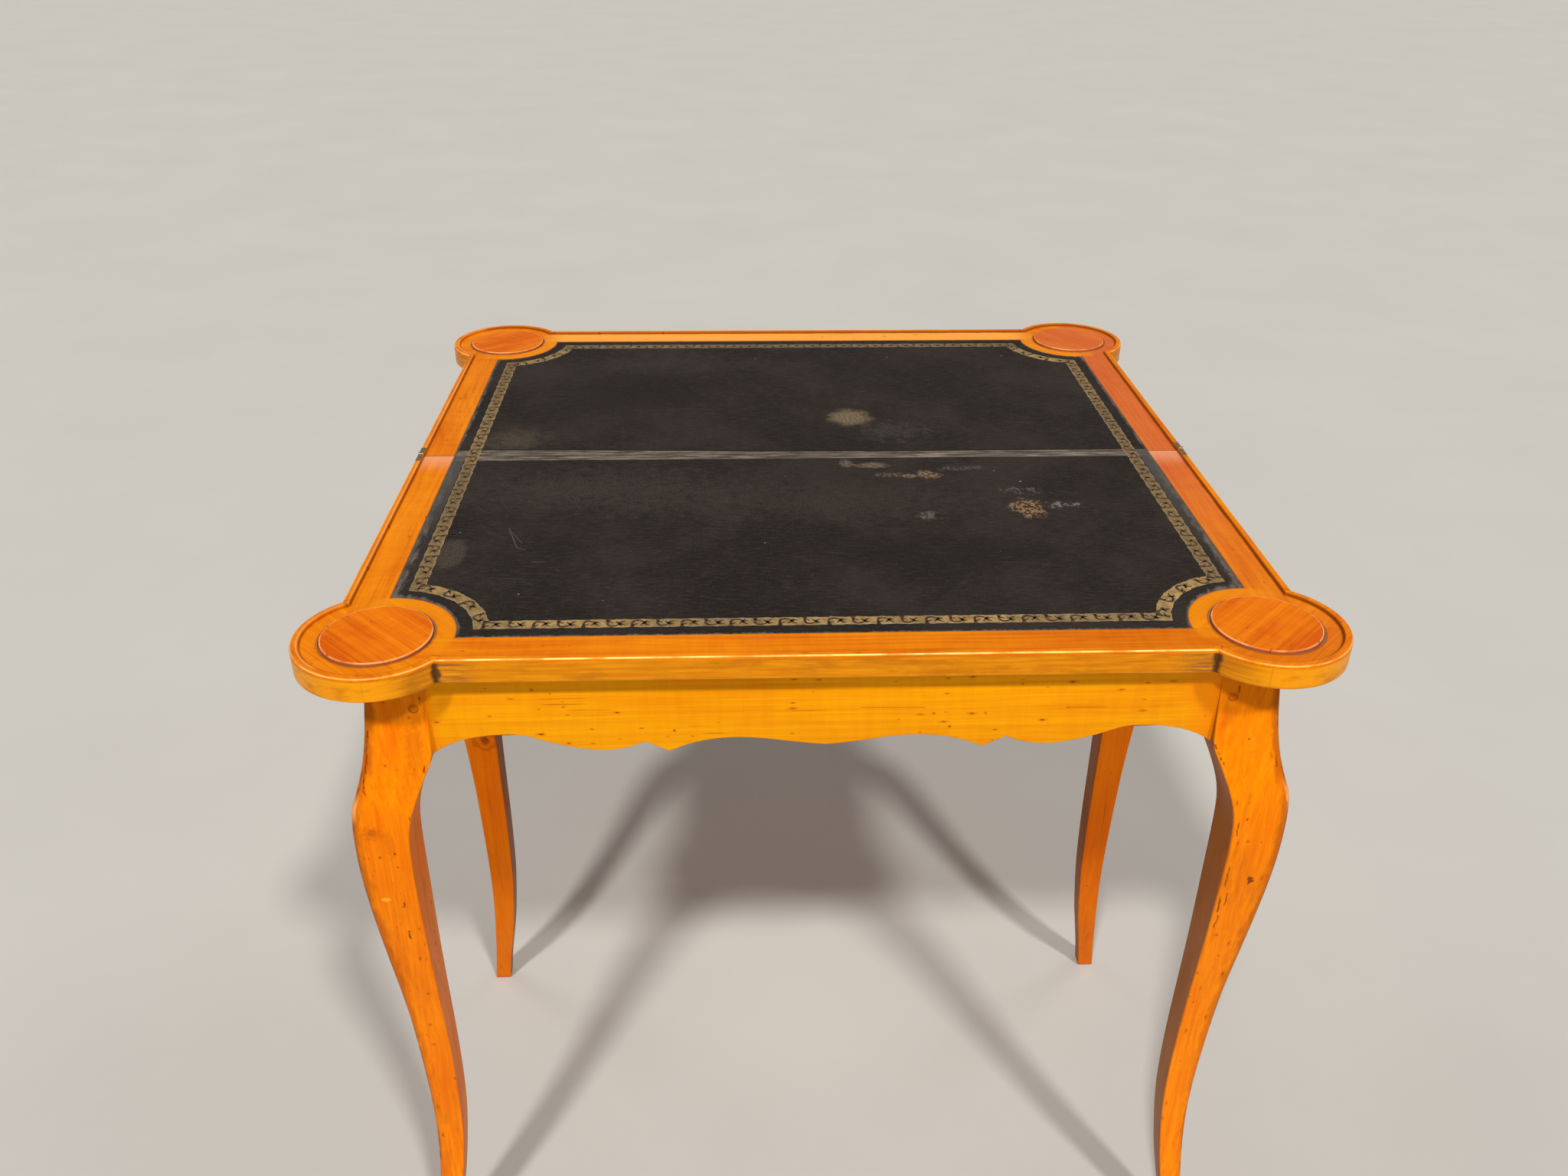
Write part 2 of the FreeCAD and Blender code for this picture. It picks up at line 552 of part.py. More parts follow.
def make_pivot():
    """Pivot plate, stud, washer and nut, and the stop peg, all carried by the front leaf."""
    plate_top = f"{LEAF_LOW} + plate_thickness"
    disc = rod("pivot_disc", "plate_radius", PIVOT, f"-{PIVOT}", (LEAF_LOW, plate_top))
    eye = rod("pivot_eye", "stud_radius", PIVOT, f"-{PIVOT}",
              (f"{LEAF_LOW} - overrun", f"{plate_top} + overrun"))
    holes = [item[1] for item in plate_screws("plate_hole")]
    keep("pivot_plate", cut("pivot_plate", disc, eye, *holes))
    screws = [item[0] for item in plate_screws("plate_screw")]
    keep("pivot_plate_screws", group("pivot_plate_screws", *screws))
    board_low = f"{FRAME_TOP} - board_thickness"
    washer_low = f"{board_low} - slide_gap - washer_thickness"
    nut_low = f"{washer_low} - nut_thickness"
    keep("pivot_stud", rod("pivot_stud", "stud_radius", PIVOT, f"-{PIVOT}",
                           (f"{nut_low} - stud_tail", plate_top)))
    ring = rod("washer_ring", "washer_radius", PIVOT, f"-{PIVOT}", (washer_low, f"{board_low} - slide_gap"))
    hole = rod("washer_hole", "stud_radius", PIVOT, f"-{PIVOT}", (f"{washer_low} - overrun", board_low))
    keep("pivot_washer", cut("pivot_washer", ring, hole))
    hexagon = doc.addObject("Part::Prism", "nut_hexagon")
    hexagon.Polygon = 6
    bind(hexagon, Circumradius="nut_radius", Height="nut_thickness", x=PIVOT, y=f"-{PIVOT}", z=nut_low)
    thread = rod("nut_thread", "stud_radius", PIVOT, f"-{PIVOT}", (f"{nut_low} - overrun", board_low))
    keep("pivot_nut", cut("pivot_nut", hexagon, thread))
    keep("stop_peg", rod("stop_peg", "stop_radius", PIVOT, f"-{PIVOT} - stop_reach",
                         (f"{LEAF_LOW} - stop_drop", f"{LEAF_LOW} + stop_root")))


def lip_section(name):
    """Section of the lip in the XZ plane, with its inner face at X = 0."""
    wide = size("lip_width")
    low = size(LEAF_LOW)
    high = size("top_height")
    outer = size("lip_round")
    inner = size("lip_ease")
    under = size("under_round")
    lean = math.sqrt(0.5)

    def spot(across, up):
        return FreeCAD.Vector(across, 0, up)

    def corner(start, middle, end):
        return Part.Arc(start, middle, end).toShape()

    foot = spot(wide - under, low)
    wall = spot(wide, low + under)
    brow = spot(wide, high - outer)
    crown = spot(wide - outer, high)
    rim = spot(inner, high)
    step = spot(0, high - inner)
    return profile(name, [
        Part.makeLine(spot(0, low), foot),
        corner(foot, spot(wide - under + under * lean, low + under - under * lean), wall),
        Part.makeLine(wall, brow),
        corner(brow, spot(wide - outer + outer * lean, high - outer + outer * lean), crown),
        Part.makeLine(crown, rim),
        corner(rim, spot(inner - inner * lean, high - inner + inner * lean), step),
        Part.makeLine(step, spot(0, low)),
    ])


def turn_section(section, degrees):
    """Turn a section about Z, so that its outer face looks another way."""
    section.Placement.Rotation = FreeCAD.Rotation(Z_AXIS, degrees)
    return section


def lobe_rod(name, radius, low, high, side=-1):
    """An upright cylinder about the centre of a front lobe."""
    x = f"-{LOBE}" if side < 0 else LOBE
    return rod(name, radius, x, f"-{LOBE}", (low, high))


def make_core():
    """The front leaf's board inside its lippings, recessed for what it carries."""
    square = box("core_square", (f"-{FIELD_EDGE}", FIELD_EDGE), (f"-{FIELD_EDGE}", f"-{FOLD}"),
                 (LEAF_LOW, CORE_TOP))
    reach = "lobe_radius - lip_width"
    lobes = [lobe_rod(f"core_lobe_{side}", reach, LEAF_LOW, CORE_TOP, side) for side in (-1, 1)]
    plain = join("core_plain", square, *lobes)
    keep("rear_core", mirror("rear_core", plain, Y_AXIS))
    plate_top = f"{LEAF_LOW} + plate_thickness"
    recess = rod("plate_recess", "plate_radius", PIVOT, f"-{PIVOT}", (f"{LEAF_LOW} - overrun", plate_top))
    socket = rod("stop_socket", "stop_radius", PIVOT, f"-{PIVOT} - stop_reach",
                 (f"{LEAF_LOW} - overrun", f"{LEAF_LOW} + stop_root"))
    holes = [item[1] for item in plate_screws("core_hole")]
    keep("front_core", cut("front_core", plain, recess, socket, *holes))


def make_lippings():
    """The moulded edge: one long piece, two side pieces and a bent piece round each lobe."""
    low = f"{LEAF_LOW} - overrun"
    high = "top_height + overrun"
    scribes = [lobe_rod(f"lip_scribe_{side}", "lobe_radius", low, high, side) for side in (-1, 1)]

    section = turn_section(lip_section("long_lip_section"), -90)
    straight = extrude("long_lip_straight", section, X_AXIS, LOBE, LOBE)
    bind(straight, y=f"-{FIELD_EDGE}")
    keep_both("long_lipping", cut("front_long_lipping", straight, *scribes))

    section = turn_section(lip_section("side_lip_section"), 180)
    straight = extrude("side_lip_straight", section, Y_AXIS, f"{LOBE} - {FOLD}")
    bind(straight, x=f"-{FIELD_EDGE}", y=f"-{LOBE}")
    keep_four("side_lipping", cut("front_left_side_lipping", straight, scribes[0], *hinge_room()))

    section = lip_section("lobe_lip_section")
    bind(section, x="lobe_radius - lip_width")
    ring = doc.addObject("Part::Revolution", "lobe_lip_ring")
    ring.Source = section
    ring.Axis = Z_AXIS
    ring.Angle = 360
    ring.Solid = True
    bind(ring, x=f"-{LOBE}", y=f"-{LOBE}")
    inside = box("lobe_lip_inside", (f"-{FIELD_EDGE}", "0"), (f"-{FIELD_EDGE}", "0"),
                 (low, high))
    keep_four("lobe_lipping", cut("front_left_lobe_lipping", ring, inside))


def keep_both(node, front):
    """Keep a piece of the front leaf and its twin on the rear leaf."""
    keep("front_" + node, front)
    keep("rear_" + node, mirror("rear_" + node, front, Y_AXIS))


def keep_four(node, front_left):
    """Keep the front left piece and its twins at the other three corners."""
    keep("front_left_" + node, front_left)
    front_right = keep("front_right_" + node, mirror("front_right_" + node, front_left, X_AXIS))
    keep("rear_left_" + node, mirror("rear_left_" + node, front_left, Y_AXIS))
    keep("rear_right_" + node, mirror("rear_right_" + node, front_right, Y_AXIS))


def make_field():
    """Border bands, lobe rings, candle discs and the leather inside them."""
    hole = "disc_radius + disc_groove"
    low = f"{CORE_TOP} - overrun"
    high = f"{FIELD_TOP} + overrun"
    discs = [lobe_rod(f"band_hole_{side}", hole, low, high, side) for side in (-1, 1)]
    long_band = box("long_band_strip", (f"-{LOBE}", LOBE), (f"-{FIELD_EDGE}", f"-{LEATHER_EDGE}"),
                    (CORE_TOP, FIELD_TOP))
    keep_both("long_band", cut("front_long_band", long_band, *discs))
    side_band = box("side_band_strip", (f"-{FIELD_EDGE}", f"-{LEATHER_EDGE}"), (f"-{LOBE}", f"-{FOLD}"),
                    (CORE_TOP, FIELD_TOP))
    keep_four("side_band", cut("front_left_side_band", side_band, discs[0]))

    outer_disc = lobe_rod("ring_outer_disc", "lobe_radius - lip_width", CORE_TOP, FIELD_TOP)
    past_long = box("ring_past_long", (f"-{LOBE}", "0"), (f"-{FIELD_EDGE}", "0"), (low, high))
    past_side = box("ring_past_side", (f"-{FIELD_EDGE}", "0"), (f"-{LOBE}", "0"), (low, high))
    outer = cut("ring_outer", outer_disc, past_long, past_side, discs[0])
    inner_disc = lobe_rod("ring_inner_disc", "hollow_radius", CORE_TOP, FIELD_TOP)
    inner_corner = box("ring_inner_corner", (f"-{LEATHER_EDGE}", "0"),
                       (f"-{LEATHER_EDGE}", "0"), (CORE_TOP, FIELD_TOP))
    inner = cut("ring_inner", common("ring_inner_sector", inner_disc, inner_corner), discs[0])
    keep_four("lobe_ring", group("front_left_lobe_ring", outer, inner))
    keep_four("candle_disc", candle_disc())

    panel = box("leather_square", (f"-{LEATHER_EDGE}", LEATHER_EDGE), (f"-{LEATHER_EDGE}", f"-{FOLD}"),
                (CORE_TOP, f"{CORE_TOP} + leather_thickness"))
    hollows = [lobe_rod(f"leather_hollow_{side}", "hollow_radius", low, high, side) for side in (-1, 1)]
    keep_both("leather", cut("front_leather", panel, *hollows))


def candle_disc():
    """A turned disc: a sketched circle, padded, with its upper arris eased."""
    body = doc.addObject("PartDesign::Body", "candle_disc_body")
    sketch = body.newObject("Sketcher::SketchObject", "disc_circle")
    plane = [item for item in body.Origin.OriginFeatures if item.Role == "XY_Plane"][0]
    sketch.AttachmentSupport = [(plane, "")]
    sketch.MapMode = "FlatFace"
    sketch.addGeometry(Part.Circle(FreeCAD.Vector(), Z_AXIS, size("disc_radius")), False)
    sketch.addConstraint(Sketcher.Constraint("Coincident", 0, 3, -1, 1))
    sketch.addConstraint(Sketcher.Constraint("Radius", 0, size("disc_radius")))
    sketch.setExpression("Constraints[1]", formula("disc_radius"))
    pad = body.newObject("PartDesign::Pad", "disc_pad")
    pad.Profile = sketch
    bind(pad, Length="lip_rise + band_thickness")
    doc.recompute()
    top = max(range(len(pad.Shape.Edges)), key=lambda index: pad.Shape.Edges[index].CenterOfMass.z)
    ease = body.newObject("PartDesign::Fillet", "disc_ease")
    ease.Base = (pad, [f"Edge{top + 1}"])
    bind(ease, Radius="disc_ease")
    body.Tip = ease
    bind(body, x=f"-{LOBE}", y=f"-{LOBE}", z=CORE_TOP)
    return body


def hinge_screws(name):
    """Two countersunk screws through a hinge strip at the front left."""
    return [
        screw(f"{name}_{index}", "hinge_screw_radius", "hinge_screw_head", "hinge_screw_length",
              f"-{HINGE_MIDDLE}", f"-hinge_screw_start - {index} * hinge_screw_step", "top_height")
        for index in range(2)
    ]


def hinge_barrel(name, radius, low, high):
    """A cylinder on the left hinge's pin line, from low to high across the hinge's middle."""
    span = (f"-{HINGE_MIDDLE} + {low}", f"-{HINGE_MIDDLE} + {high}")
    return rod(name, radius, span, "0", PIN_HEIGHT)


def hinge_room():
    """What is cut from a side lipping: pockets for strip and knuckles, and screw holes."""
    reach = "(hinge_width / 2 + joint_gap)"
    width = (f"-{HINGE_MIDDLE} - {reach}", f"-{HINGE_MIDDLE} + {reach}")
    strip = box("strip_pocket", width, ("-hinge_length - joint_gap", "overrun"),
                ("top_height - hinge_thickness", "top_height + overrun"))
    knuckle = hinge_barrel("knuckle_pocket", "knuckle_radius + knuckle_gap", f"-{reach}", reach)
    return [strip, knuckle, *[item[1] for item in hinge_screws("lip_hole")]]


def make_hinges():
    """A brass butt hinge in each end of the fold: strips, knuckles, pins and screws."""
    side = "(hinge_width / 2)"
    middle = "(knuckle_width / 2)"
    beside = "(knuckle_width / 2 + knuckle_side_gap)"
    room = "knuckle_radius + knuckle_gap"
    strip = box("hinge_strip", (f"-{HINGE_MIDDLE} - {side}", f"-{HINGE_MIDDLE} + {side}"),
                ("-hinge_length", f"-{FOLD}"), ("top_height - hinge_thickness", "top_height"))
    holes = [item[1] for item in hinge_screws("strip_hole")]

    notch = hinge_barrel("middle_notch", room, f"-{beside}", beside)
    cheeks = [hinge_barrel("left_knuckle", "knuckle_radius", f"-{side}", f"-{beside}"),
              hinge_barrel("right_knuckle", "knuckle_radius", beside, side)]
    bore = hinge_barrel("front_bore", "hinge_pin_radius", f"-{side} - overrun", f"{side} + overrun")
    front = cut("front_strip", join("front_blank", cut("front_plate", strip, notch), *cheeks), bore, *holes)
    pair("front_hinge_strips", front)

    notches = [hinge_barrel("left_notch", room, f"-{side} - overrun", f"-{middle}"),
               hinge_barrel("right_notch", room, middle, f"{side} + overrun")]
    knuckle = hinge_barrel("middle_knuckle", "knuckle_radius", f"-{middle}", middle)
    bore = hinge_barrel("rear_bore", "hinge_pin_radius + hinge_run_gap",
                        f"-{side} - overrun", f"{side} + overrun")
    rear = cut("rear_strip", join("rear_blank", cut("rear_plate", strip, *notches), knuckle), bore, *holes)
    pair("rear_hinge_strips", mirror("rear_strip_turned", rear, Y_AXIS))

    pair("hinge_pins", hinge_barrel("hinge_pin", "hinge_pin_radius", f"-{side}", side))
    screws = group("hinge_screw_set", *[item[0] for item in hinge_screws("hinge_screw")])
    pair("front_hinge_screws", screws)
    pair("rear_hinge_screws", mirror("rear_screw_set", screws, Y_AXIS))


def pair(node, left):
    """Keep a piece at the left end of the fold together with its twin at the right end."""
    keep(node, group(node, left, mirror(node + "_right", left, X_AXIS)))


def export():
    """Refuse a failed object or a bad shape, then write one STEP file for each sub-part."""
    doc.recompute()
    failed = [thing.Label for thing in doc.Objects if {"Invalid", "Error"} & set(thing.State)]
    if failed:
        raise RuntimeError("failed: " + ", ".join(failed))
    for node, thing in pieces.items():
        if thing.Shape.isNull() or not thing.Shape.isValid():
            raise RuntimeError("bad shape: " + node)
    os.makedirs("parts", exist_ok=True)
    for node, thing in pieces.items():
        thing.Shape.exportStep(os.path.join("parts", node + ".step"))
        print(node, len(thing.Shape.Solids), "solids", round(thing.Shape.Volume, 1), "mm3")


make_legs()
make_pegs()
make_aprons()
make_corner_blocks()
make_well()
make_battens()
make_pivot_board()
make_pads()
make_core()
make_lippings()
make_field()
make_pivot()
make_hinges()
export()
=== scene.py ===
"""Looks of the games table: finishes, eased arrises, tooled leather, stage, lights and camera."""
import math

import bmesh
import bpy
import numpy as np
from mathutils import Matrix, Vector


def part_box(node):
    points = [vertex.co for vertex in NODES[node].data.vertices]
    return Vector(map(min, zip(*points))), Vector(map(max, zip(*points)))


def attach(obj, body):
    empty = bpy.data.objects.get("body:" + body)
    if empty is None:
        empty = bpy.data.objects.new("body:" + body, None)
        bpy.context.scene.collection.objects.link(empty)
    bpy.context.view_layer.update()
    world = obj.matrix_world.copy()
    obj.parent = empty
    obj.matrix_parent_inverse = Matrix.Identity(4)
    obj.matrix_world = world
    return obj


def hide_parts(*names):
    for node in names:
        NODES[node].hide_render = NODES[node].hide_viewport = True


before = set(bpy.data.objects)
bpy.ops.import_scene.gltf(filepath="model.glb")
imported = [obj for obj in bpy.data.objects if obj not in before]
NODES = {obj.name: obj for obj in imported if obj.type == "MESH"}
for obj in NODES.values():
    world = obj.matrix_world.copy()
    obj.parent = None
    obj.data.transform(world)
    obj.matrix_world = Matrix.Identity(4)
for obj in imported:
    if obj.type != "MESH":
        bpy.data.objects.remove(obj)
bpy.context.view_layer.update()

# Places read from the frame, in metres.
disc_low, disc_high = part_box("front_right_candle_disc")
LOBE_X = (disc_low.x + disc_high.x) / 2
LOBE_Y = -(disc_low.y + disc_high.y) / 2
DISC_RADIUS = (disc_high.x - disc_low.x) / 2
TOP = disc_high.z
LEATHER_EDGE, LEATHER_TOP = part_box("front_leather")[1].x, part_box("front_leather")[1].z
LEATHER_FOLD = -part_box("front_leather")[1].y
HALF = -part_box("front_long_lipping")[0].y
LOBE_RADIUS = -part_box("front_right_lobe_lipping")[0].y - LOBE_Y
LIP_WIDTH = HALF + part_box("front_long_band")[0].y
LEAF_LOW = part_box("front_core")[0].z
FRAME_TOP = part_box("leg_front_left")[1].z
BASE_LOW, BASE_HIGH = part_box("apron_front")[0].y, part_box("apron_rear")[1].y
BASE_MIDDLE = (BASE_LOW + BASE_HIGH) / 2

# The side of a leg's square upper end, and where the aprons meet the legs, from the middle,
# a little short of the joint.
LEG_SIDE = 0.047
SHORT = 0.0005
SHOULDER_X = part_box("apron_right")[1].x - LEG_SIDE - SHORT
SHOULDER_Y = (BASE_HIGH - BASE_LOW) / 2 - LEG_SIDE - SHORT
JOINT_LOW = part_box("apron_front")[0].z

# The hollow corner of the leather, about a lobe's centre.
HOLLOW_RADIUS = 0.063

# Where the straight edge meets a lobe, along the edge from the middle.
JUNCTION = LOBE_X - math.sqrt(LOBE_RADIUS ** 2 - (HALF - LOBE_Y) ** 2)

# Gilt border: distances from the leather's edge to its outer and inner edge, the step from one
# scroll to the next, the lift of band and scrolls off the leather and how much smaller a scroll may be.
GILT_OUTER = 0.0132
GILT_INNER = 0.0258
GILT_STEP = 0.0196
GILT_LIFT = 0.00006
SCROLL_LIFT = 0.00011
SCROLL_SPREAD = 0.12

UP = Vector((0, 0, 1))


class Value:
    """What a socket gives. Signs and the steps below add the nodes that work it out further."""

    def __init__(self, wires, socket):
        self.wires = wires
        self.socket = socket
        self.is_vector = socket.type in ("VECTOR", "RGBA")

    def __add__(self, other):
        return self.wires.join("ADD", self, other)

    def __sub__(self, other):
        return self.wires.join("SUBTRACT", self, other)

    def __rsub__(self, other):
        return self.wires.join("SUBTRACT", other, self)

    def __mul__(self, other):
        return self.wires.join("MULTIPLY", self, other)

    def __truediv__(self, other):
        return self.wires.join("DIVIDE", self, other)

    def __lt__(self, other):
        return self.wires.math("LESS_THAN", self, other)

    def __gt__(self, other):
        return self.wires.math("GREATER_THAN", self, other)

    def __abs__(self):
        return self.wires.join("ABSOLUTE", self)

    def dot(self, other):
        return self.wires.vector("DOT_PRODUCT", self, other, out="Value")

    def length(self):
        return self.wires.vector("LENGTH", self, out="Value")

    def split(self):
        return [self.wires.take("ShaderNodeSeparateXYZ", axis, Vector=self) for axis in "XYZ"]

    def noise(self, scale, detail=2.0, roughness=0.5, warp=0.0):
        """Noise at this place. scale is a number, or one for each direction."""
        place, scale = (self * scale, 1.0) if isinstance(scale, tuple) else (self, scale)
        return self.wires.take("ShaderNodeTexNoise", "Fac", Vector=place, Scale=scale, Detail=detail,
                               Roughness=roughness, Distortion=warp)

    def spread(self, low, high, start, end):
        """Smooth step from start at low to end at high."""
        return self.wires.take("ShaderNodeMapRange", 0, {"interpolation_type": "SMOOTHSTEP"}, Value=self,
                               From_Min=low, From_Max=high, To_Min=start, To_Max=end)

    def rise(self, low, high, end=1.0):
        return self.spread(low, high, 0.0, end)

    def fade(self, low, high, start=1.0):
        return self.spread(low, high, start, 0.0)

    def blend(self, under, over):
        """One colour over another, as far as this mask goes."""
        node = self.wires.put("ShaderNodeMix", {"data_type": "RGBA"})
        for index, value in ((0, self), (6, under), (7, over)):
            self.wires.feed(node.inputs[index], value)
        return Value(self.wires, node.outputs[2])


class Wires:
    """Adds nodes to one tree and links whatever values they are given."""

    def __init__(self, tree):
        self.tree = tree

    def feed(self, socket, value):
        if isinstance(value, Value):
            value = value.socket
        if isinstance(value, bpy.types.NodeSocket):
            self.tree.links.new(value, socket)
        elif socket.type == "RGBA":
            socket.default_value = (*value, 1)
        else:
            socket.default_value = value

    def feed_all(self, sockets, **values):
        for name, value in values.items():
            self.feed(sockets[name.replace("_", " ")], value)

    def put(self, kind, settings=None, **inputs):
        node = self.tree.nodes.new(kind)
        for name, value in (settings or {}).items():
            setattr(node, name, value)
        self.feed_all(node.inputs, **inputs)
        return node

    def take(self, kind, output, settings=None, **inputs):
        """One output of a new node."""
        return Value(self, self.put(kind, settings, **inputs).outputs[output])

    def math(self, operation, *values, clamp=False):
        node = self.put("ShaderNodeMath", {"operation": operation, "use_clamp": clamp})
        for socket, value in zip(node.inputs, values):
            self.feed(socket, value)
        return Value(self, node.outputs[0])

    def vector(self, operation, *values, out="Vector"):
        node = self.put("ShaderNodeVectorMath", {"operation": operation})
        for socket, value in zip(node.inputs, values):
            self.feed(socket, value)
        return Value(self, node.outputs[out])

    def join(self, operation, *values):
        """A sum of numbers, or of vectors where one of them is a vector."""
        vectors = any(getattr(value, "is_vector", isinstance(value, tuple)) for value in values)
        return (self.vector if vectors else self.math)(operation, *values)

    def pack(self, x, y, z):
        return self.take("ShaderNodeCombineXYZ", 0, X=x, Y=y, Z=z)

    def all_outputs(self, kind, settings=None, **inputs):
        """Every output of a new node, by name."""
        return {socket.name: Value(self, socket) for socket in self.put(kind, settings, **inputs).outputs}

    def group(self, tree, **inputs):
        return self.all_outputs("ShaderNodeGroup", {"node_tree": tree}, **inputs)


def make_group(name, inputs, *outputs):
    """An empty shader group. Each input has its usual value: None for a vector, a number or a colour."""
    tree = bpy.data.node_groups.new(name, "ShaderNodeTree")
    for label, value in inputs.items():
        kind = "Vector" if value is None else "Color" if isinstance(value, tuple) else "Float"
        socket = tree.interface.new_socket(label, in_out="INPUT", socket_type="NodeSocket" + kind)
        if value is not None:
            socket.default_value = value
    for label in outputs:
        kind = "Color" if label == "Color" else "Float"
        tree.interface.new_socket(label, in_out="OUTPUT", socket_type="NodeSocket" + kind)
    wires = Wires(tree)
    return wires, wires.all_outputs("NodeGroupInput"), wires.put("NodeGroupOutput").inputs


def make_wood_figure():
    """Growth bands, streaks, deeper zones and curl of a plank whose grain runs along X."""
    inputs = {"Vector": None, "Light": (0.9, 0.3, 0.02, 1), "Deep": (0.6, 0.15, 0.01, 1), "Bands": 0.5,
              "Streaks": 0.5, "Zones": 0.5, "Curl": 0.1}
    wires, given, result = make_group("Wood Figure", inputs, "Color", "Height", "Zone")
    place = given["Vector"]
    bend = place.noise((2.2, 9.0, 9.0), 2.0)
    x, y, z = place.split()
    sway = (bend - 0.5) * 0.06
    across = y + (sway + 0.021)
    deep = z + (sway + 0.055)
    radius = wires.math("SQRT", across * across + deep * deep)
    rings = wires.pack(radius * 420.0, 0.0, 0.0).noise(1.0, 1.0)
    bands = rings.rise(0.34, 0.66) * given["Bands"]
    fine = place.noise((16.0, 950.0, 950.0), 2.0, 0.6)
    broad = place.noise((5.0, 210.0, 210.0), 3.0, 0.55)
    streak = fine.rise(0.36, 0.66) * 0.4 + broad.rise(0.38, 0.64) * 0.6
    streaks = streak * given["Streaks"]
    zone = place.noise((5.5, 19.0, 19.0), 3.0, 0.6, 0.5)
    zones = zone.rise(0.38, 0.64) * given["Zones"]
    ripple = place.noise((150.0, 22.0, 22.0), 2.0, 0.5, 0.4)
    curl = ripple.rise(0.35, 0.68) * given["Curl"]
    tone = wires.math("ADD", bands + streaks, zones + curl, clamp=True)
    wires.feed_all(result, Color=tone.blend(given["Light"], given["Deep"]), Height=fine + broad * 0.5,
                   Zone=zone)
    return wires.tree


def make_old_marks():
    """Masks of worm holes, of short dents along X, of the stain round them and of fine cracks,
    on a face laid out flat."""
    inputs = {"Vector": None, "Holes": 0.1, "Dents": 0.1, "Cracks": 0.1}
    wires, given, result = make_group("Old Marks", inputs, "Mark", "Stain")
    place = given["Vector"]
    where = place.noise(11.0, 1.0).spread(0.4, 0.6, 0.25, 1.0)

    def scatter(stretch, radius, share):
        cells = wires.all_outputs("ShaderNodeTexVoronoi", {"voronoi_dimensions": "2D"},
                                  Vector=place * stretch, Scale=1.0, Randomness=0.85)
        pick = cells["Color"].split()
        chosen = pick[0] < share * where
        reach = wires.math("MULTIPLY_ADD", wires.math("POWER", pick[1], 2.0), radius, radius * 0.45)
        span = cells["Distance"] / reach
        depth = chosen * wires.math("MULTIPLY_ADD", pick[2], 0.75, 0.25)
        spot = span.fade(0.5, 1.0) * depth
        halo = span.fade(0.6, 2.6, 0.5) * chosen
        return spot, halo

    hole, hole_halo = scatter((70.0, 70.0, 1.0), 0.065, given["Holes"])
    dent, dent_halo = scatter((48.0, 135.0, 1.0), 0.090, given["Dents"])
    line = place.noise((9.0, 520.0, 1.0), 0.0)
    near = place.noise((13.0, 40.0, 1.0), 1.0)
    crack = line.rise(0.74, 0.8) * near.rise(0.52, 0.62)
    mark = wires.math("MAXIMUM", wires.math("MAXIMUM", hole, dent), crack * given["Cracks"])
    wires.feed_all(result, Mark=mark, Stain=wires.math("MAXIMUM", hole_halo, dent_halo))
    return wires.tree


def make_top_outline():
    """How far a place on the top lies inside its outer edge and inside the leather's edge, and
    from the corner where straight edge and lobe meet, and from the lobe's middle."""
    inputs = {"Vector": None, "Half Side": HALF, "Lobe Centre": LOBE_X, "Lobe Radius": LOBE_RADIUS,
              "Leather Half": LEATHER_EDGE, "Hollow Radius": HOLLOW_RADIUS}
    wires, given, result = make_group("Top Outline", inputs, "Rim", "Inset", "Junction", "Lobe")
    x, y, z = abs(given["Vector"]).split()
    centre = given["Lobe Centre"]

    def reach(from_x, from_y):
        return wires.pack(x - from_x, y - from_y, 0.0).length()

    def within(half):
        return wires.math("MINIMUM", half - x, half - y)

    lobe = reach(centre, centre)
    half = given["Half Side"]
    wires.feed_all(result, Lobe=lobe,
                   Rim=wires.math("MAXIMUM", within(half), given["Lobe Radius"] - lobe),
                   Inset=wires.math("MINIMUM", within(given["Leather Half"]), lobe - given["Hollow Radius"]),
                   Junction=wires.math("MINIMUM", reach(JUNCTION, half), reach(half, JUNCTION)))
    return wires.tree


def make_patch():
    """Mask and tone of a worn patch: an oval with ragged edges, whole or broken up into chips."""
    inputs = {"Vector": None, "Centre": None, "Reach": None, "Ragged": 0.5, "Grain Size": 90.0,
              "Core": 0.55, "Chips": 0.0}
    wires, given, result = make_group("Worn Patch", inputs, "Mask", "Tone")
    away = given["Vector"] - given["Centre"]
    span = (away / given["Reach"]).length()
    grit = given["Vector"].noise(given["Grain Size"], 3.0, 0.65)
    rough = (grit - 0.5) * (given["Ragged"] * 4.0)
    oval = (span + rough).fade(given["Core"], 1.0)
    crumb = given["Vector"].noise((270.0, 190.0, 200.0), 3.0, 0.6)
    lost = crumb.fade(0.45, 0.55) * given["Chips"]
    wires.feed_all(result, Mask=oval * (1.0 - lost),
                   Tone=given["Vector"].noise(460.0, 2.0, 0.6).rise(0.32, 0.68))
    return wires.tree


def make_scratch():
    """Mask of one fine straight scratch."""
    inputs = {"Vector": None, "Start": None, "End": None, "Width": 0.001}
    wires, given, result = make_group("Scratch", inputs, "Mask")
    along = given["End"] - given["Start"]
    away = given["Vector"] - given["Start"]
    share = wires.math("DIVIDE", away.dot(along), along.dot(along), clamp=True)
    scale = wires.put("ShaderNodeVectorMath", {"operation": "SCALE"})
    wires.feed(scale.inputs[0], along)
    wires.feed(scale.inputs["Scale"], share)
    gap = (away - scale.outputs[0]).length()
    wires.feed(result["Mask"], (gap / given["Width"]).fade(0.1, 1.0))
    return wires.tree


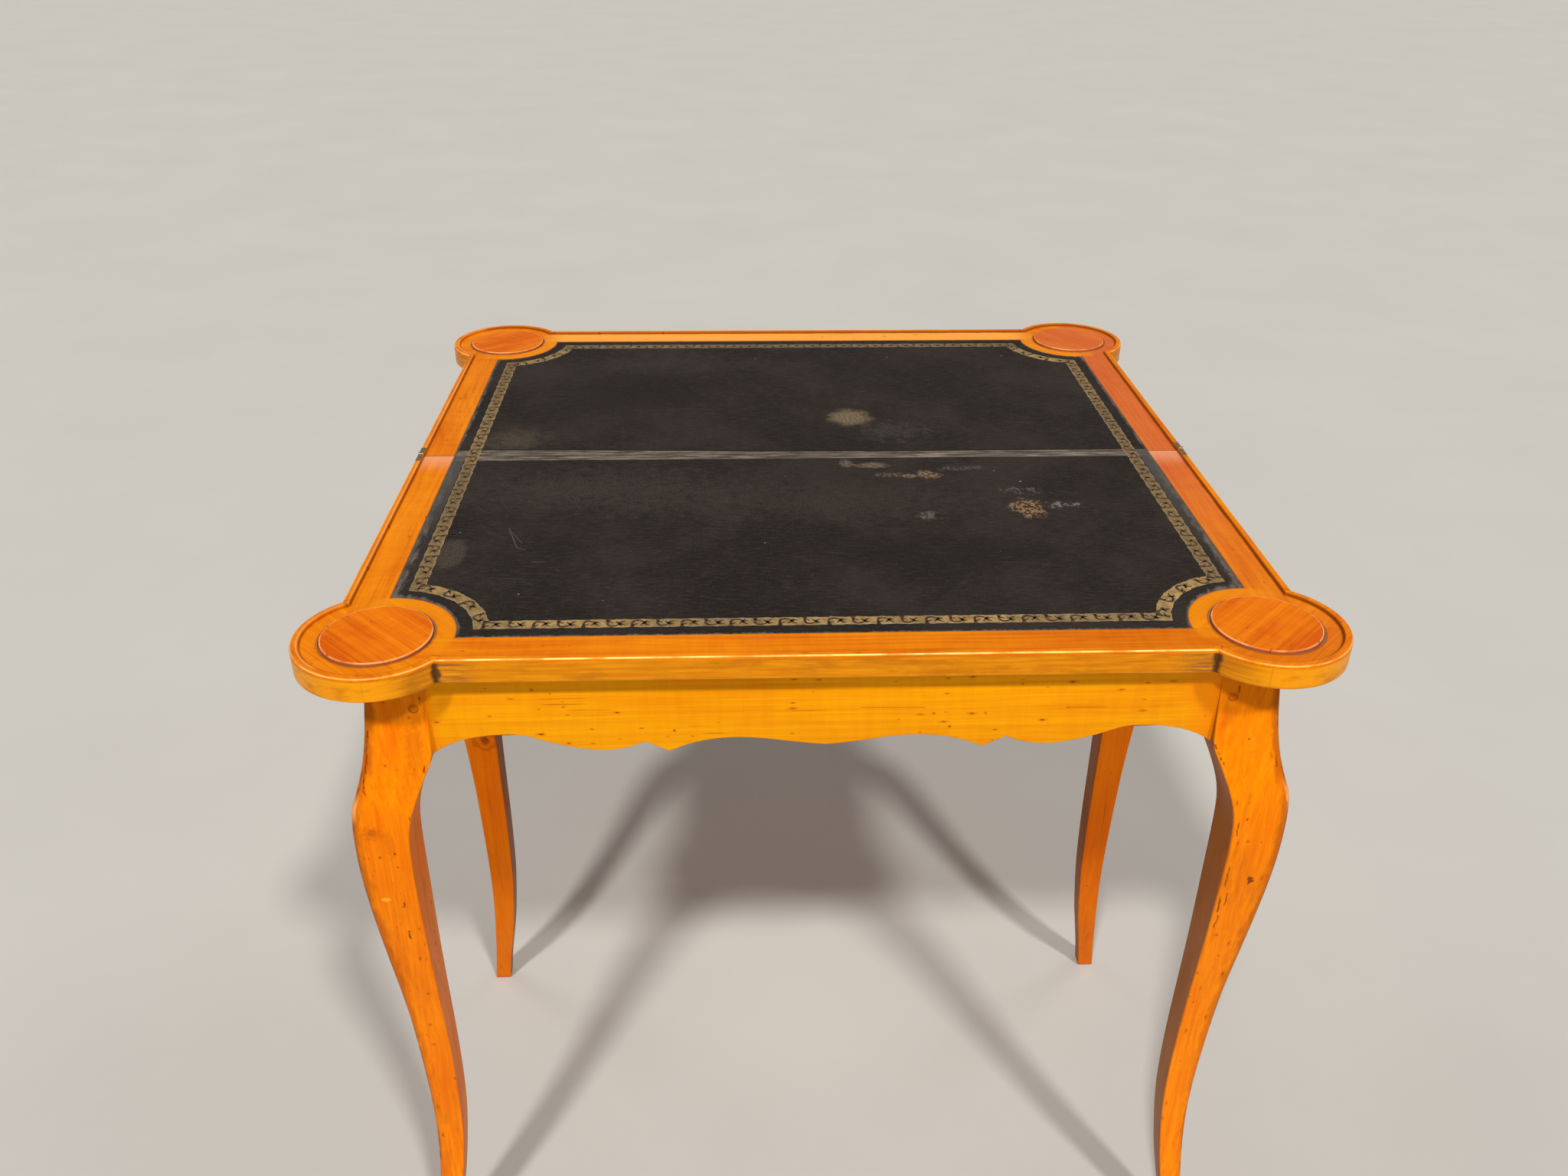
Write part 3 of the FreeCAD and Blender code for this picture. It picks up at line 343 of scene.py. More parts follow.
def make_hair_scratches():
    """Mask of faint scratches that all lie one way."""
    inputs = {"Vector": None, "Turn": None, "Share": 0.5}
    wires, given, result = make_group("Hair Scratches", inputs, "Mask")
    turned_place = wires.take("ShaderNodeMapping", 0, Vector=given["Vector"], Rotation=given["Turn"])
    line = turned_place.noise((11.0, 640.0, 640.0), 0.0)
    near = (given["Vector"] + (3.1, 7.7, 1.3)).noise(21.0, 2.0)
    mask = line.rise(0.7, 0.8) * near.rise(0.5, 0.66)
    wires.feed(result["Mask"], mask * given["Share"])
    return wires.tree


WOOD_FIGURE = make_wood_figure()
OLD_MARKS = make_old_marks()
TOP_OUTLINE = make_top_outline()
WORN_PATCH = make_patch()
SCRATCH = make_scratch()
HAIR_SCRATCHES = make_hair_scratches()


def start_material(name):
    """A material with its Principled shader, and Object coordinates."""
    material = bpy.data.materials.new(name)
    material.use_nodes = True
    wires = Wires(material.node_tree)
    shader = material.node_tree.nodes["Principled BSDF"].inputs
    return material, wires, shader, wires.take("ShaderNodeTexCoord", "Object")


def cover(colour, *layers):
    """Tints laid over a colour one after the other, each as far as its mask goes."""
    for mask, tint in layers:
        colour = mask.blend(colour, tint)
    return colour


def lay_flat(wires, place, grain, face):
    """Places on a face laid out flat, with the grain along X: the face of a top, a wall or a post."""
    x, y, z = place.split()
    if face == "wall":
        return wires.pack(x + y, z, 0.0)
    if face == "post":
        return wires.pack(z, x + y, 0.0)
    return grain * (1, 1, 0)


def wood(name, turn, light, deep, bands=0.2, streaks=0.45, zones=0.45, curl=0.12, holes=0.06, dents=0.10,
         cracks=0.3, face="top", roughness=0.36, wear=None):
    """A waxed wood. wear takes wires, place and colour, and gives the colour back changed."""
    material, wires, shader, place = start_material(name)
    grain = wires.take("ShaderNodeMapping", 0, {"vector_type": "POINT"}, Vector=place, Rotation=turn)
    figure = wires.group(WOOD_FIGURE, Vector=grain, Light=light, Deep=deep, Bands=bands,
                         Streaks=streaks, Zones=zones, Curl=curl)
    marks = wires.group(OLD_MARKS, Vector=lay_flat(wires, place, grain, face), Holes=holes, Dents=dents,
                        Cracks=cracks)
    colour = wear(wires, place, figure["Color"]) if wear else figure["Color"]
    colour = cover(colour, (marks["Stain"], (0.5, 0.1, 0.002)), (marks["Mark"] * 0.85, (0.14, 0.024, 0.002)))
    height = figure["Height"] * 0.12 - marks["Mark"]
    wires.feed_all(shader, Base_Color=colour, Specular_IOR_Level=0.12, Specular_Tint=(1.0, 0.55, 0.20),
                   Roughness=figure["Zone"].spread(0.3, 0.7, roughness - 0.05, roughness + 0.07),
                   Normal=wires.take("ShaderNodeBump", 0, Height=height, Strength=0.35, Distance=0.0004))
    return material


def lip_wear(wires, place, colour):
    """Browner outer face with a painted highlight on the lobes, grime by the lobes, painted highlights along
    the outer arrises broken where rubbed, a painted highlight on the left lips' inner arris and painted
    shade at the inner foot.
    """
    outline = wires.group(TOP_OUTLINE, Vector=place)
    x, y, height = place.split()
    rim, reach, lobe = outline["Rim"], outline["Junction"], outline["Lobe"]
    patchy = place.noise((30.0, 30.0, 90.0), 4.0, 0.65)
    streak = place.noise((18.0, 18.0, 400.0), 3.0, 0.6)
    face = height.fade(TOP - 0.004, TOP - 0.0022)
    # Painted highlight: the lobes' outer faces made lighter away from the junctions.
    swell = reach.rise(0.018, 0.05, 0.6) * lobe.fade(LOBE_RADIUS + 0.0005, LOBE_RADIUS + 0.003)
    ochre = cover((0.78, 0.275, 0.006), (streak.rise(0.3, 0.7), (0.6, 0.18, 0.004)),
                  (swell, (0.98, 0.36, 0.006)), (patchy.rise(0.45, 0.7, 0.6), (0.44, 0.135, 0.006)))
    on_lobe = lobe.spread(LOBE_RADIUS + 0.0005, LOBE_RADIUS + 0.003, 0.35, 1.0)
    smear = reach.fade(0.006, 0.042) * streak.rise(0.36, 0.6) * on_lobe
    smear = smear * face * patchy.spread(0.3, 0.6, 0.3, 1.0)
    corner = (reach + (patchy - 0.5) * 0.011).fade(0.0008, 0.005, 0.9) * face
    left_side = x.fade(-0.405, -0.395)
    # Painted shade at the lip's inner foot, weaker on the left.
    foot = rim.rise(LIP_WIDTH - 0.0016, LIP_WIDTH - 0.0003, 0.85) * (1.0 - left_side * 0.75)
    # Painted highlight along the inner arris of the left lips.
    painted_inner_highlight = abs(rim - (LIP_WIDTH - 0.0018)).fade(0.0003, 0.001, 0.6) * left_side
    painted_inner_highlight = painted_inner_highlight * abs(y).spread(0.26, 0.3, 1.0, 0.4)
    # Painted highlights along the outer arrises at top and bottom, broken up by the rubbed noise.
    rubbed = place.noise(34.0, 3.0, 0.6).spread(0.34, 0.58, 0.25, 0.95)
    painted_arris_highlight = (rim + (TOP - height)).fade(0.00128, 0.00156) * rubbed
    painted_arris_highlight = painted_arris_highlight * lobe.spread(LOBE_RADIUS + 0.001, LOBE_RADIUS + 0.004, 0.45, 1.0)
    painted_low_arris_highlight = (rim + (height - LEAF_LOW)).fade(0.001, 0.0014, 0.35) * rubbed
    return cover(colour, (face, ochre), (smear * 0.75, (0.2, 0.085, 0.03)), (corner, (0.04, 0.022, 0.012)),
                 (foot, (0.3, 0.07, 0.004)), (painted_inner_highlight, (1.0, 0.6, 0.33)), (painted_arris_highlight, (1.0, 0.78, 0.24)),
                 (painted_low_arris_highlight, (0.95, 0.46, 0.08)))


def field_wear(wires, place, colour):
    """Bands of their own tones with the right band greyed partly as a painted reflection, a painted sheen on
    the rear band, painted shade where the field meets the lip, a dark joint line at the leather, a ring by
    the discs that is partly grime and partly painted shade, a golden inner side of the rings, and a painted
    sheen on the front leaf by the fold."""
    outline = wires.group(TOP_OUTLINE, Vector=place)
    x, y, z = place.split()
    lobe, inset = outline["Lobe"], outline["Inset"]
    patchy = place.noise(40.0, 3.0, 0.6)
    some = patchy.spread(0.32, 0.62, 0.35, 1.0)
    drift = (patchy - 0.5) * 0.12
    # Right band redder and greyer: partly the wood's tone, partly a painted dull reflection.
    right_band_tone_and_reflection = x.rise(0.355, 0.372) * (y + drift).spread(-0.32, 0.0, 0.1, 0.58)
    front_band = y.fade(-0.372, -0.366) * (x + drift).rise(-0.12, 0.28, 0.3)
    # Painted sheen: the rear band made paler.
    painted_rear_sheen = y.rise(0.366, 0.372, 0.62) * abs(x).fade(0.29, 0.33)
    inner_ring = lobe.fade(0.058, 0.066) * inset.rise(-0.024, -0.008)
    # Painted shade on the field at the lip's foot, weaker on the left.
    foot = outline["Rim"].fade(LIP_WIDTH, LIP_WIDTH + 0.0028, 0.9) * some
    foot = foot * x.spread(-0.385, -0.375, 0.3, 1.0)
    seam = inset.rise(-0.0013, -0.0003, 0.65)
    # Dark ring by the discs' groove: partly grime, partly painted shade.
    moat_grime_and_shade = lobe.fade(0.0466, 0.0484, 0.85) * some
    rubbed = lobe.fade(0.046, 0.047) * patchy.rise(0.42, 0.6)
    crease = abs(y).fade(0.0004, 0.0012, 0.9)
    # Painted sheen: the front leaf made paler just in front of the fold.
    pale = y.rise(-0.045, -0.001) * (y < 0.0)
    return cover(colour, (right_band_tone_and_reflection, (0.52, 0.085, 0.04)), (front_band, (0.46, 0.07, 0.002)),
                 (painted_rear_sheen, (1.0, 0.46, 0.085)), (inner_ring * 0.45, (0.82, 0.28, 0.003)),
                 (foot, (0.26, 0.055, 0.004)), (seam, (0.2, 0.075, 0.03)), (moat_grime_and_shade, (0.14, 0.04, 0.012)),
                 (rubbed, (0.42, 0.2, 0.13)), (crease, (0.16, 0.05, 0.015)),
                 (pale * 0.45, (0.92, 0.44, 0.26)))


def disc_wear(wires, place, colour):
    """Arris lighter, partly rubbed wear and partly a painted highlight, and a darker side of a candle disc.
    The one at the rear right is redder.
    """
    x, y, height = place.split()
    rear_right = (x > 0.0) * (y > 0.0)
    inside = DISC_RADIUS - wires.group(TOP_OUTLINE, Vector=place)["Lobe"]
    patchy = place.noise(45.0, 3.0, 0.6)
    side = height.fade(TOP - 0.0012, TOP - 0.0006)
    # The arris lighter: partly rubbed wear, partly a painted highlight.
    arris = (inside + (TOP - height)).fade(0.0008, 0.0014) * patchy.spread(0.34, 0.6, 0.15, 0.75)
    return cover(colour, (rear_right * 0.45, (0.56, 0.125, 0.045)), (side * 0.8, (0.36, 0.12, 0.045)),
                 (arris, (0.96, 0.44, 0.18)))


# Stains on the fronts of the front legs: middle as x and z, reach, ragged edge, colour, strength.
LEG_PATCHES = (
    ((0.3763, 0.4980), (0.0033, 0.0046), 0.90, (0.055, 0.013, 0.004), 0.95),
    ((-0.3801, 0.5689), (0.0100, 0.0090), 0.55, (0.520, 0.090, 0.003), 0.40),
    ((-0.3800, 0.5700), (0.0045, 0.0045), 0.55, (0.360, 0.050, 0.003), 0.40),
    ((-0.3670, 0.5570), (0.0050, 0.0180), 0.55, (0.560, 0.110, 0.003), 0.35),
    ((-0.3384, 0.6390), (0.0095, 0.0330), 0.45, (0.560, 0.115, 0.003), 0.45),
    ((-0.3784, 0.4955), (0.0055, 0.0030), 0.30, (1.000, 0.460, 0.030), 0.60))
# Dents and short cracks there: start and end as x and z, and half width.
LEG_LINES = (
    ((0.3547, 0.5150), (0.3550, 0.4920), 0.0013), ((0.3590, 0.4830), (0.3594, 0.4670), 0.0010),
    ((0.3541, 0.4780), (0.3546, 0.4600), 0.0016), ((0.3560, 0.4540), (0.3552, 0.4380), 0.0014),
    ((0.3610, 0.5684), (0.3610, 0.5668), 0.0018), ((0.3543, 0.5640), (0.3547, 0.5500), 0.0009),
    ((0.3799, 0.6250), (0.3806, 0.6160), 0.0014), ((0.3545, 0.6404), (0.3545, 0.6400), 0.0015),
    ((0.3266, 0.6352), (0.3282, 0.6322), 0.0012), ((0.3302, 0.6284), (0.3309, 0.6272), 0.0014),
    ((0.3326, 0.6240), (0.3332, 0.6226), 0.0013), ((0.3350, 0.6200), (0.3355, 0.6188), 0.0012),
    ((0.3398, 0.6895), (0.3402, 0.6850), 0.0014), ((-0.3638, 0.5486), (-0.3638, 0.5470), 0.0014),
    ((-0.3639, 0.5334), (-0.3639, 0.5326), 0.0011), ((-0.3637, 0.4912), (-0.3637, 0.4898), 0.0018),
    ((-0.3650, 0.4560), (-0.3652, 0.4470), 0.0014), ((-0.3753, 0.6600), (-0.3790, 0.6330), 0.0016),
    ((-0.3790, 0.6330), (-0.3835, 0.6080), 0.0014), ((-0.3323, 0.6285), (-0.3326, 0.6230), 0.0013))
# The middles of the tenon pegs, those along X and Y from the middle of the frame, the height of the
# knees' points, and the knot of the left rear leg.
PEG_HEIGHT = (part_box("tenon_pegs")[0].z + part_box("tenon_pegs")[1].z) / 2
PEG_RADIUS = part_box("tenon_pegs")[1].z - PEG_HEIGHT
PEG_ALONG_X = 0.3360
PEG_ALONG_Y = 0.1485
KNEE_HEIGHT = 0.592
KNOT_X, KNOT_HEIGHT = -0.3620, 0.3960


def leg_wear(wires, place, colour):
    """Stained outer arrises, lighter at the knee as wear and painted highlight, rear legs darker and redder
    as painted shade with a knot in the left one, painted light on the step beside the aprons, painted shade
    on inner sides, a ring round each peg with painted shade below it, and the front legs' marks."""
    x, y, z = place.split()
    away, quarters = wires.take("ShaderNodeUVMap", 0, {"uv_map": "from_outer_arris"}).split()[:2]
    mottle = place.noise((90.0, 90.0, 34.0), 4.0, 0.65)
    patchy = place.noise((60.0, 60.0, 14.0), 3.0, 0.65)
    ragged_away = away + (mottle - 0.5) * 0.02
    edge_stain = ragged_away.fade(0.002, 0.01, 0.72) * z.spread(0.18, 0.45, 0.45, 1.0)
    dark_edge = ragged_away.fade(0.0005, 0.0035, 0.8) * mottle.rise(0.44, 0.58)
    # The knee's arris lighter: partly rubbed wear, partly a painted highlight.
    knee = away.fade(0.0016, 0.0042) * abs(z - KNEE_HEIGHT).fade(0.002, 0.016, 0.6)
    wide, deep = abs(x), abs(y - BASE_MIDDLE)
    on_front = y < BASE_LOW + 0.003
    # Painted light: the leg's step beside the front apron made lighter to lift its shade.
    step = z.rise(JOINT_LOW - 0.004, JOINT_LOW + 0.004) * (wide < SHOULDER_X + 0.0007) * on_front
    from_knot = wires.pack((x - KNOT_X) * 0.8, 0.0, z - KNOT_HEIGHT).length() + (mottle - 0.5) * 0.022
    rings = wires.math("SINE", from_knot * 620.0).rise(-0.6, 0.9) * from_knot.fade(0.008, 0.022, 0.5)
    knot = wires.math("MAXIMUM", from_knot.fade(0.001, 0.007, 0.9), rings) * (y > BASE_MIDDLE)
    # Painted shade on the inward sides of the right legs and the left rear leg.
    shaded = quarters.rise(1.02, 1.06) * wires.math("MAXIMUM", x > 0.0, y > BASE_MIDDLE)
    # In this cover the rear legs' darker, redder tone is painted shade from the top above them.
    colour = cover(colour, (edge_stain, (0.4, 0.085, 0.004)), (dark_edge, (0.12, 0.035, 0.006)),
                   (y.rise(-0.22, -0.1, 0.55), (0.52, 0.08, 0.001)), (knee, (1.0, 0.45, 0.15)),
                   (step * 0.8, (0.98, 0.36, 0.006)), (knot, (0.2, 0.034, 0.002)),
                   (shaded * 0.8, (0.21, 0.07, 0.004)))
    upright = wires.pack(x, 0.0, z)
    for (patch_x, patch_z), (across, high), ragged, tint, strength in LEG_PATCHES:
        patch = wires.group(WORN_PATCH, Vector=upright, Centre=(patch_x, 0, patch_z),
                            Reach=(across, 1, high), Ragged=ragged, Grain_Size=260.0)
        colour = (patch["Mask"] * strength * on_front).blend(colour, tint)
    shake = wires.take("ShaderNodeTexNoise", "Color", Vector=place, Scale=150.0, Detail=3.0)
    shaken = upright + (shake - (0.5, 0.5, 0.5)) * (0.003, 0, 0.003)
    broken = place.noise((900.0, 900.0, 260.0), 1.0).spread(0.36, 0.56, 0.25, 0.95)
    for (start_x, start_z), (end_x, end_z), width in LEG_LINES:
        line = wires.group(SCRATCH, Vector=shaken, Start=(start_x, 0, start_z), End=(end_x, 0, end_z),
                           Width=width)
        colour = (line["Mask"] * broken * on_front).blend(colour, (0.19, 0.028, 0.002))
    # A dark ring round each peg, made darker below as painted shade under its domed end.
    rise = z - PEG_HEIGHT
    for side in (wide - PEG_ALONG_X, deep - PEG_ALONG_Y):
        span = wires.pack(side, rise, 0.0).length()
        ring = span.rise(PEG_RADIUS - 0.0003, PEG_RADIUS + 0.0002)
        ring = ring * span.fade(PEG_RADIUS + 0.0005, PEG_RADIUS + 0.0018)
        colour = (ring * rise.spread(-0.004, 0.004, 0.9, 0.3)).blend(colour, (0.3, 0.065, 0.003))
    return patchy.rise(0.52, 0.7, 0.45).blend(colour, (0.55, 0.12, 0.003))


def apron_wear(wires, place, colour):
    """The front apron's right end made redder as painted shade, and its hairline crack."""
    # Painted shade: the right end made redder where the light falls off.
    end = place.split()[0] + (place.noise(30.0, 3.0, 0.6) - 0.5) * 0.05
    crack = wires.group(SCRATCH, Vector=place, Start=(0.0280, BASE_LOW, 0.6728),
                        End=(0.0807, BASE_LOW, 0.6719), Width=0.0008)
    return cover(colour, (end.rise(0.285, 0.325, 0.7), (0.94, 0.235, 0.002)),
                 (crack["Mask"] * 0.6, (0.36, 0.1, 0.003)))


def board_wear(wires, place, colour):
    """A leaf's plain board has a finished edge at the fold, which shows when the table is folded."""
    edge = abs(place.split()[1]).fade(0.0006, 0.001)
    return (edge * 0.9).blend(colour, (0.74, 0.215, 0.003))


# Turns that bring a grain direction to X.
TURNS = {"long": (0, 0, 0), "side": (0, 0, -math.pi / 2), "upright": (0, math.pi / 2, 0),
         "falling": (0, 0, math.pi / 4), "rising": (0, 0, -math.pi / 4)}
TOP_TONES = {"light": (0.86, 0.260, 0.002), "deep": (0.60, 0.110, 0.001)}
WOODS = {
    "leg": {"light": (0.97, 0.275, 0.001), "deep": (0.78, 0.145, 0.001), "face": "post", "wear": leg_wear,
            "holes": 0.12, "dents": 0.20, "curl": 0.05, "cracks": 0.4, "streaks": 0.55, "zones": 0.36},
    "apron": {"light": (0.97, 0.400, 0.001), "deep": (0.80, 0.225, 0.001), "face": "wall", "zones": 0.3,
              "holes": 0.10, "dents": 0.20, "cracks": 0.5},
    "lipping": {"wear": lip_wear, "holes": 0.1, "dents": 0.2, **TOP_TONES},
    "band": {"wear": field_wear, "zones": 0.35, **TOP_TONES},
    "disc": {"light": (0.84, 0.215, 0.002), "deep": (0.60, 0.095, 0.001), "wear": disc_wear,
             "streaks": 0.6, "zones": 0.5, "dents": 0.2},
    "peg": {"light": (0.90, 0.22, 0.002), "deep": (0.62, 0.11, 0.002)},
    "polished": {"bands": 0.45, "streaks": 0.6, "zones": 0.5, "dents": 0.15, "holes": 0.08, **TOP_TONES},
    "inner": {"light": (0.46, 0.26, 0.12), "deep": (0.30, 0.15, 0.065), "roughness": 0.62}}


def make_woods():
    """Every wood of the table, by the name that dress() uses."""
    woods = {
        "leg": wood("leg_wood", TURNS["upright"], **WOODS["leg"]),
        "apron_long": wood("apron_wood_long", TURNS["long"], wear=apron_wear, **WOODS["apron"]),
        "apron_short": wood("apron_wood_short", TURNS["side"], **WOODS["apron"]),
        "peg": wood("peg_wood", TURNS["long"], **WOODS["peg"]),
        "board": wood("board_wood", TURNS["long"], wear=board_wear, **WOODS["inner"]),
        "closed_top": wood("board_wood_polished", TURNS["long"], **WOODS["polished"]),
        "inner": wood("inner_wood", TURNS["long"], **WOODS["inner"])}
    for piece, look, ways in (("lipping", "lipping", ("long", "side", "falling", "rising")),
                              ("band", "band", ("long", "side")), ("ring", "band", ("falling", "rising")),
                              ("disc", "disc", ("falling", "rising"))):
        for way in ways:
            woods[f"{piece}_{way}"] = wood(f"{piece}_wood_{way}", TURNS[way], **WOODS[look])
    return woods


def plain_metal(name, colour, dark, bare):
    """Tarnished metal. bare is the share of it that still shines."""
    material, wires, shader, place = start_material(name)
    patch = place.noise(350.0, 3.0, 0.6)
    wires.feed_all(shader, Base_Color=patch.rise(0.35, 0.65).blend(colour, dark),
                   Roughness=patch.spread(0.3, 0.7, 0.35, 0.55), Metallic=bare)
    return material


# Worn patches of the leather: middle, reach across and back, ragged edge, solid core, share
# lost between chips, colour and strength.
LEATHER_PATCHES = (
    ((0.0560, 0.1010), (0.0310, 0.0300), 0.20, 0.40, 0.20, (0.165, 0.118, 0.064), 0.95),
    ((0.1020, 0.0620), (0.0560, 0.0420), 0.60, 0.00, 0.55, (0.080, 0.066, 0.052), 0.42),
    ((0.0415, -0.0270), (0.0085, 0.0150), 0.30, 0.40, 0.45, (0.140, 0.100, 0.068), 0.85),
    ((0.0690, -0.0320), (0.0230, 0.0095), 0.30, 0.40, 0.35, (0.150, 0.106, 0.070), 0.90),
    ((0.0860, -0.0560), (0.0220, 0.0080), 0.60, 0.30, 0.85, (0.120, 0.090, 0.066), 0.70),
    ((0.1045, -0.0585), (0.0085, 0.0070), 0.35, 0.40, 0.60, (0.200, 0.132, 0.086), 0.90),
    ((0.1245, -0.0560), (0.0140, 0.0130), 0.50, 0.35, 0.75, (0.220, 0.135, 0.082), 0.90),
    ((0.1600, -0.0410), (0.0360, 0.0090), 0.70, 0.10, 0.80, (0.105, 0.090, 0.075), 0.60),
    ((0.2125, -0.1380), (0.0175, 0.0270), 0.30, 0.50, 1.00, (0.270, 0.145, 0.066), 0.92),
    ((0.1965, -0.1350), (0.0080, 0.0130), 0.50, 0.30, 1.00, (0.270, 0.180, 0.110), 0.85),
    ((0.2450, -0.1310), (0.0230, 0.0090), 0.95, 0.05, 1.00, (0.300, 0.270, 0.240), 0.50),
    ((0.2150, -0.0960), (0.0270, 0.0110), 0.95, 0.00, 1.00, (0.200, 0.180, 0.160), 0.35),
    ((0.1110, -0.1500), (0.0140, 0.0130), 0.60, 0.30, 0.85, (0.170, 0.140, 0.105), 0.75),
    ((-0.3100, 0.0420), (0.0480, 0.0440), 0.35, 0.00, 0.20, (0.085, 0.062, 0.040), 0.60),
    ((-0.3310, -0.2210), (0.0170, 0.0360), 0.12, 0.55, 0.00, (0.068, 0.050, 0.036), 0.65),
    ((-0.2000, -0.0850), (0.1900, 0.0800), 0.45, 0.00, 0.30, (0.047, 0.036, 0.027), 0.65),
    ((0.0200, -0.1200), (0.2400, 0.0600), 0.50, 0.00, 0.30, (0.044, 0.033, 0.024), 0.55),
    ((-0.1600, 0.2800), (0.2000, 0.0600), 0.50, 0.00, 0.30, (0.040, 0.030, 0.023), 0.50),
    ((-0.2000, 0.1700), (0.1700, 0.1100), 0.40, 0.00, 0.00, (0.013, 0.009, 0.007), 0.55),
    ((0.1000, -0.2300), (0.2200, 0.0550), 0.40, 0.00, 0.00, (0.013, 0.009, 0.007), 0.45))
# Its long scratches: start, end and width.
LEATHER_SCRATCHES = (
    ((-0.2858, -0.1703), (-0.2732, -0.2096), 0.0008), ((-0.2818, -0.1784), (-0.2694, -0.2020), 0.0005),
    ((-0.2740, -0.2096), (-0.2650, -0.2143), 0.0005), ((-0.2557, -0.2382), (-0.2441, -0.2385), 0.0007))
# Its faint scratches: the way they lie and how many there are.
HAIRS = ((0.12, 0.4), (1.05, 0.15), (2.3, 0.15))


def make_leather():
    """Worn black leather: a pale fold with a painted highlight and shadow, frayed edges, a painted sheen by
    the front leaf's sides, rubbed patches and scratches.
    """
    material, wires, shader, place = start_material("leather_black")
    inset = wires.group(TOP_OUTLINE, Vector=place)["Inset"]
    x, y, z = place.split()
    flat = wires.pack(x, y, 0.0)
    mottle = flat.noise(7.0, 5.0, 0.66)
    brushed = flat.noise((85.0, 360.0, 1.0), 4.0, 0.7)
    colour = cover((0.0115, 0.0075, 0.0055), (mottle.rise(0.38, 0.64), (0.024, 0.0165, 0.012)),
                   (brushed.rise(0.45, 0.72, 0.6), (0.042, 0.031, 0.024)),
                   (flat.noise(420.0, 3.0, 0.7).rise(0.5, 0.75, 0.5), (0.055, 0.042, 0.034)))
    for middle, reach, ragged, core, chips, tint, strength in LEATHER_PATCHES:
        patch = wires.group(WORN_PATCH, Vector=flat, Centre=(*middle, 0), Reach=(*reach, 1), Ragged=ragged,
                            Core=core, Chips=chips)
        shade = patch["Tone"].blend([0.6 * part for part in tint], [1.38 * part for part in tint])
        colour = (patch["Mask"] * strength).blend(colour, shade)
    for turn, share in HAIRS:
        hairs = wires.group(HAIR_SCRATCHES, Vector=flat, Turn=(0, 0, turn), Share=share)
        colour = hairs["Mask"].blend(colour, (0.075, 0.062, 0.054))
    for start, end, width in LEATHER_SCRATCHES:
        line = wires.group(SCRATCH, Vector=flat, Start=(*start, 0), End=(*end, 0), Width=width)
        colour = (line["Mask"] * 0.5).blend(colour, (0.16, 0.13, 0.09))
    specks = wires.all_outputs("ShaderNodeTexVoronoi", Vector=flat, Scale=42.0)
    pick = specks["Color"].split()
    size = wires.math("MULTIPLY_ADD", pick[1], 0.045, 0.022)
    speck = (specks["Distance"] / size).fade(0.6, 1.0) * (pick[0] < 0.2)

    # The fold: pale, streaked and cracked, deeper on the left, with a painted highlight along its front edge
    # and a painted shadow behind it.
    streaky = flat.noise((20.0, 230.0, 1.0), 5.0, 0.72)
    blotch = flat.noise((16.0, 70.0, 1.0), 3.0, 0.6)
    back = x.spread(-0.34, 0.08, 0.015, 0.005)
    fold = (y - back).fade(-0.0012, 0.0) * y.rise(-0.0127, -0.0117)
    # Painted highlight along the fold's front edge.
    lit = y.rise(-0.0098, -0.0116) * x.spread(-0.3, 0.25, 0.15, 0.6) * blotch.spread(0.38, 0.58, 1.0, 0.35)
    crack = abs(y + (streaky - 0.5) * 0.0016).fade(0.0003, 0.0011, 0.85)
    pale = cover((0.048, 0.034, 0.025), (streaky.rise(0.42, 0.59), (0.24, 0.19, 0.142)),
                 (blotch.rise(0.4, 0.62, 0.55), (0.085, 0.064, 0.048)), (lit, (0.29, 0.245, 0.2)),
                 (crack, (0.045, 0.034, 0.027)))
    # Painted shadow just behind the fold.
    behind = (y - back).fade(0.0, 0.004, 0.8) * (y > back)

    # The frayed edge, and a painted sheen between it and the border at the sides of the front leaf.
    fray = flat.noise((150.0, 42.0, 1.0), 4.0, 0.72)
    sideways = abs(x).spread(0.31, 0.355, 0.3, 1.0) * y.spread(-0.04, 0.02, 1.0, 0.45)
    edge = (inset / (wires.math("MULTIPLY_ADD", fray, 0.024, -0.0045) * sideways)).fade(0.35, 1.1)
    greys = fray.rise(0.35, 0.7).blend((0.062, 0.047, 0.038), (0.18, 0.145, 0.118))
    margin = inset.fade(GILT_OUTER - 0.002, GILT_OUTER) * abs(x).rise(0.33, 0.345)
    # Painted sheen at the front leaf's sides, fading towards the front.
    painted_sheen = y.rise(-0.28, -0.02, 0.75) * (y < 0.0)
    colour = cover(colour, (speck, (0.26, 0.23, 0.21)), (fold, pale), (behind, (0.01, 0.007, 0.005)),
                   (edge * 0.8, greys), (margin * painted_sheen, (0.08, 0.07, 0.06)))
    pebble = wires.take("ShaderNodeTexVoronoi", "Distance", Vector=flat, Scale=900.0)
    height = pebble + fold * (streaky * 1.5)
    wires.feed_all(shader, Base_Color=colour, Roughness=mottle.spread(0.3, 0.7, 0.52, 0.64),
                   Specular_IOR_Level=0.2,
                   Normal=wires.take("ShaderNodeBump", 0, Height=height, Strength=0.35, Distance=0.0002))
    return material


def border_fade(place, side_strength, rear_strength):
    """Masks of the border's sides, which are dull, and of its rear, which has gone grey and faint."""
    x, y, z = place.split()
    return abs(x).rise(0.335, 0.345, side_strength), y.rise(0.325, 0.345, rear_strength)


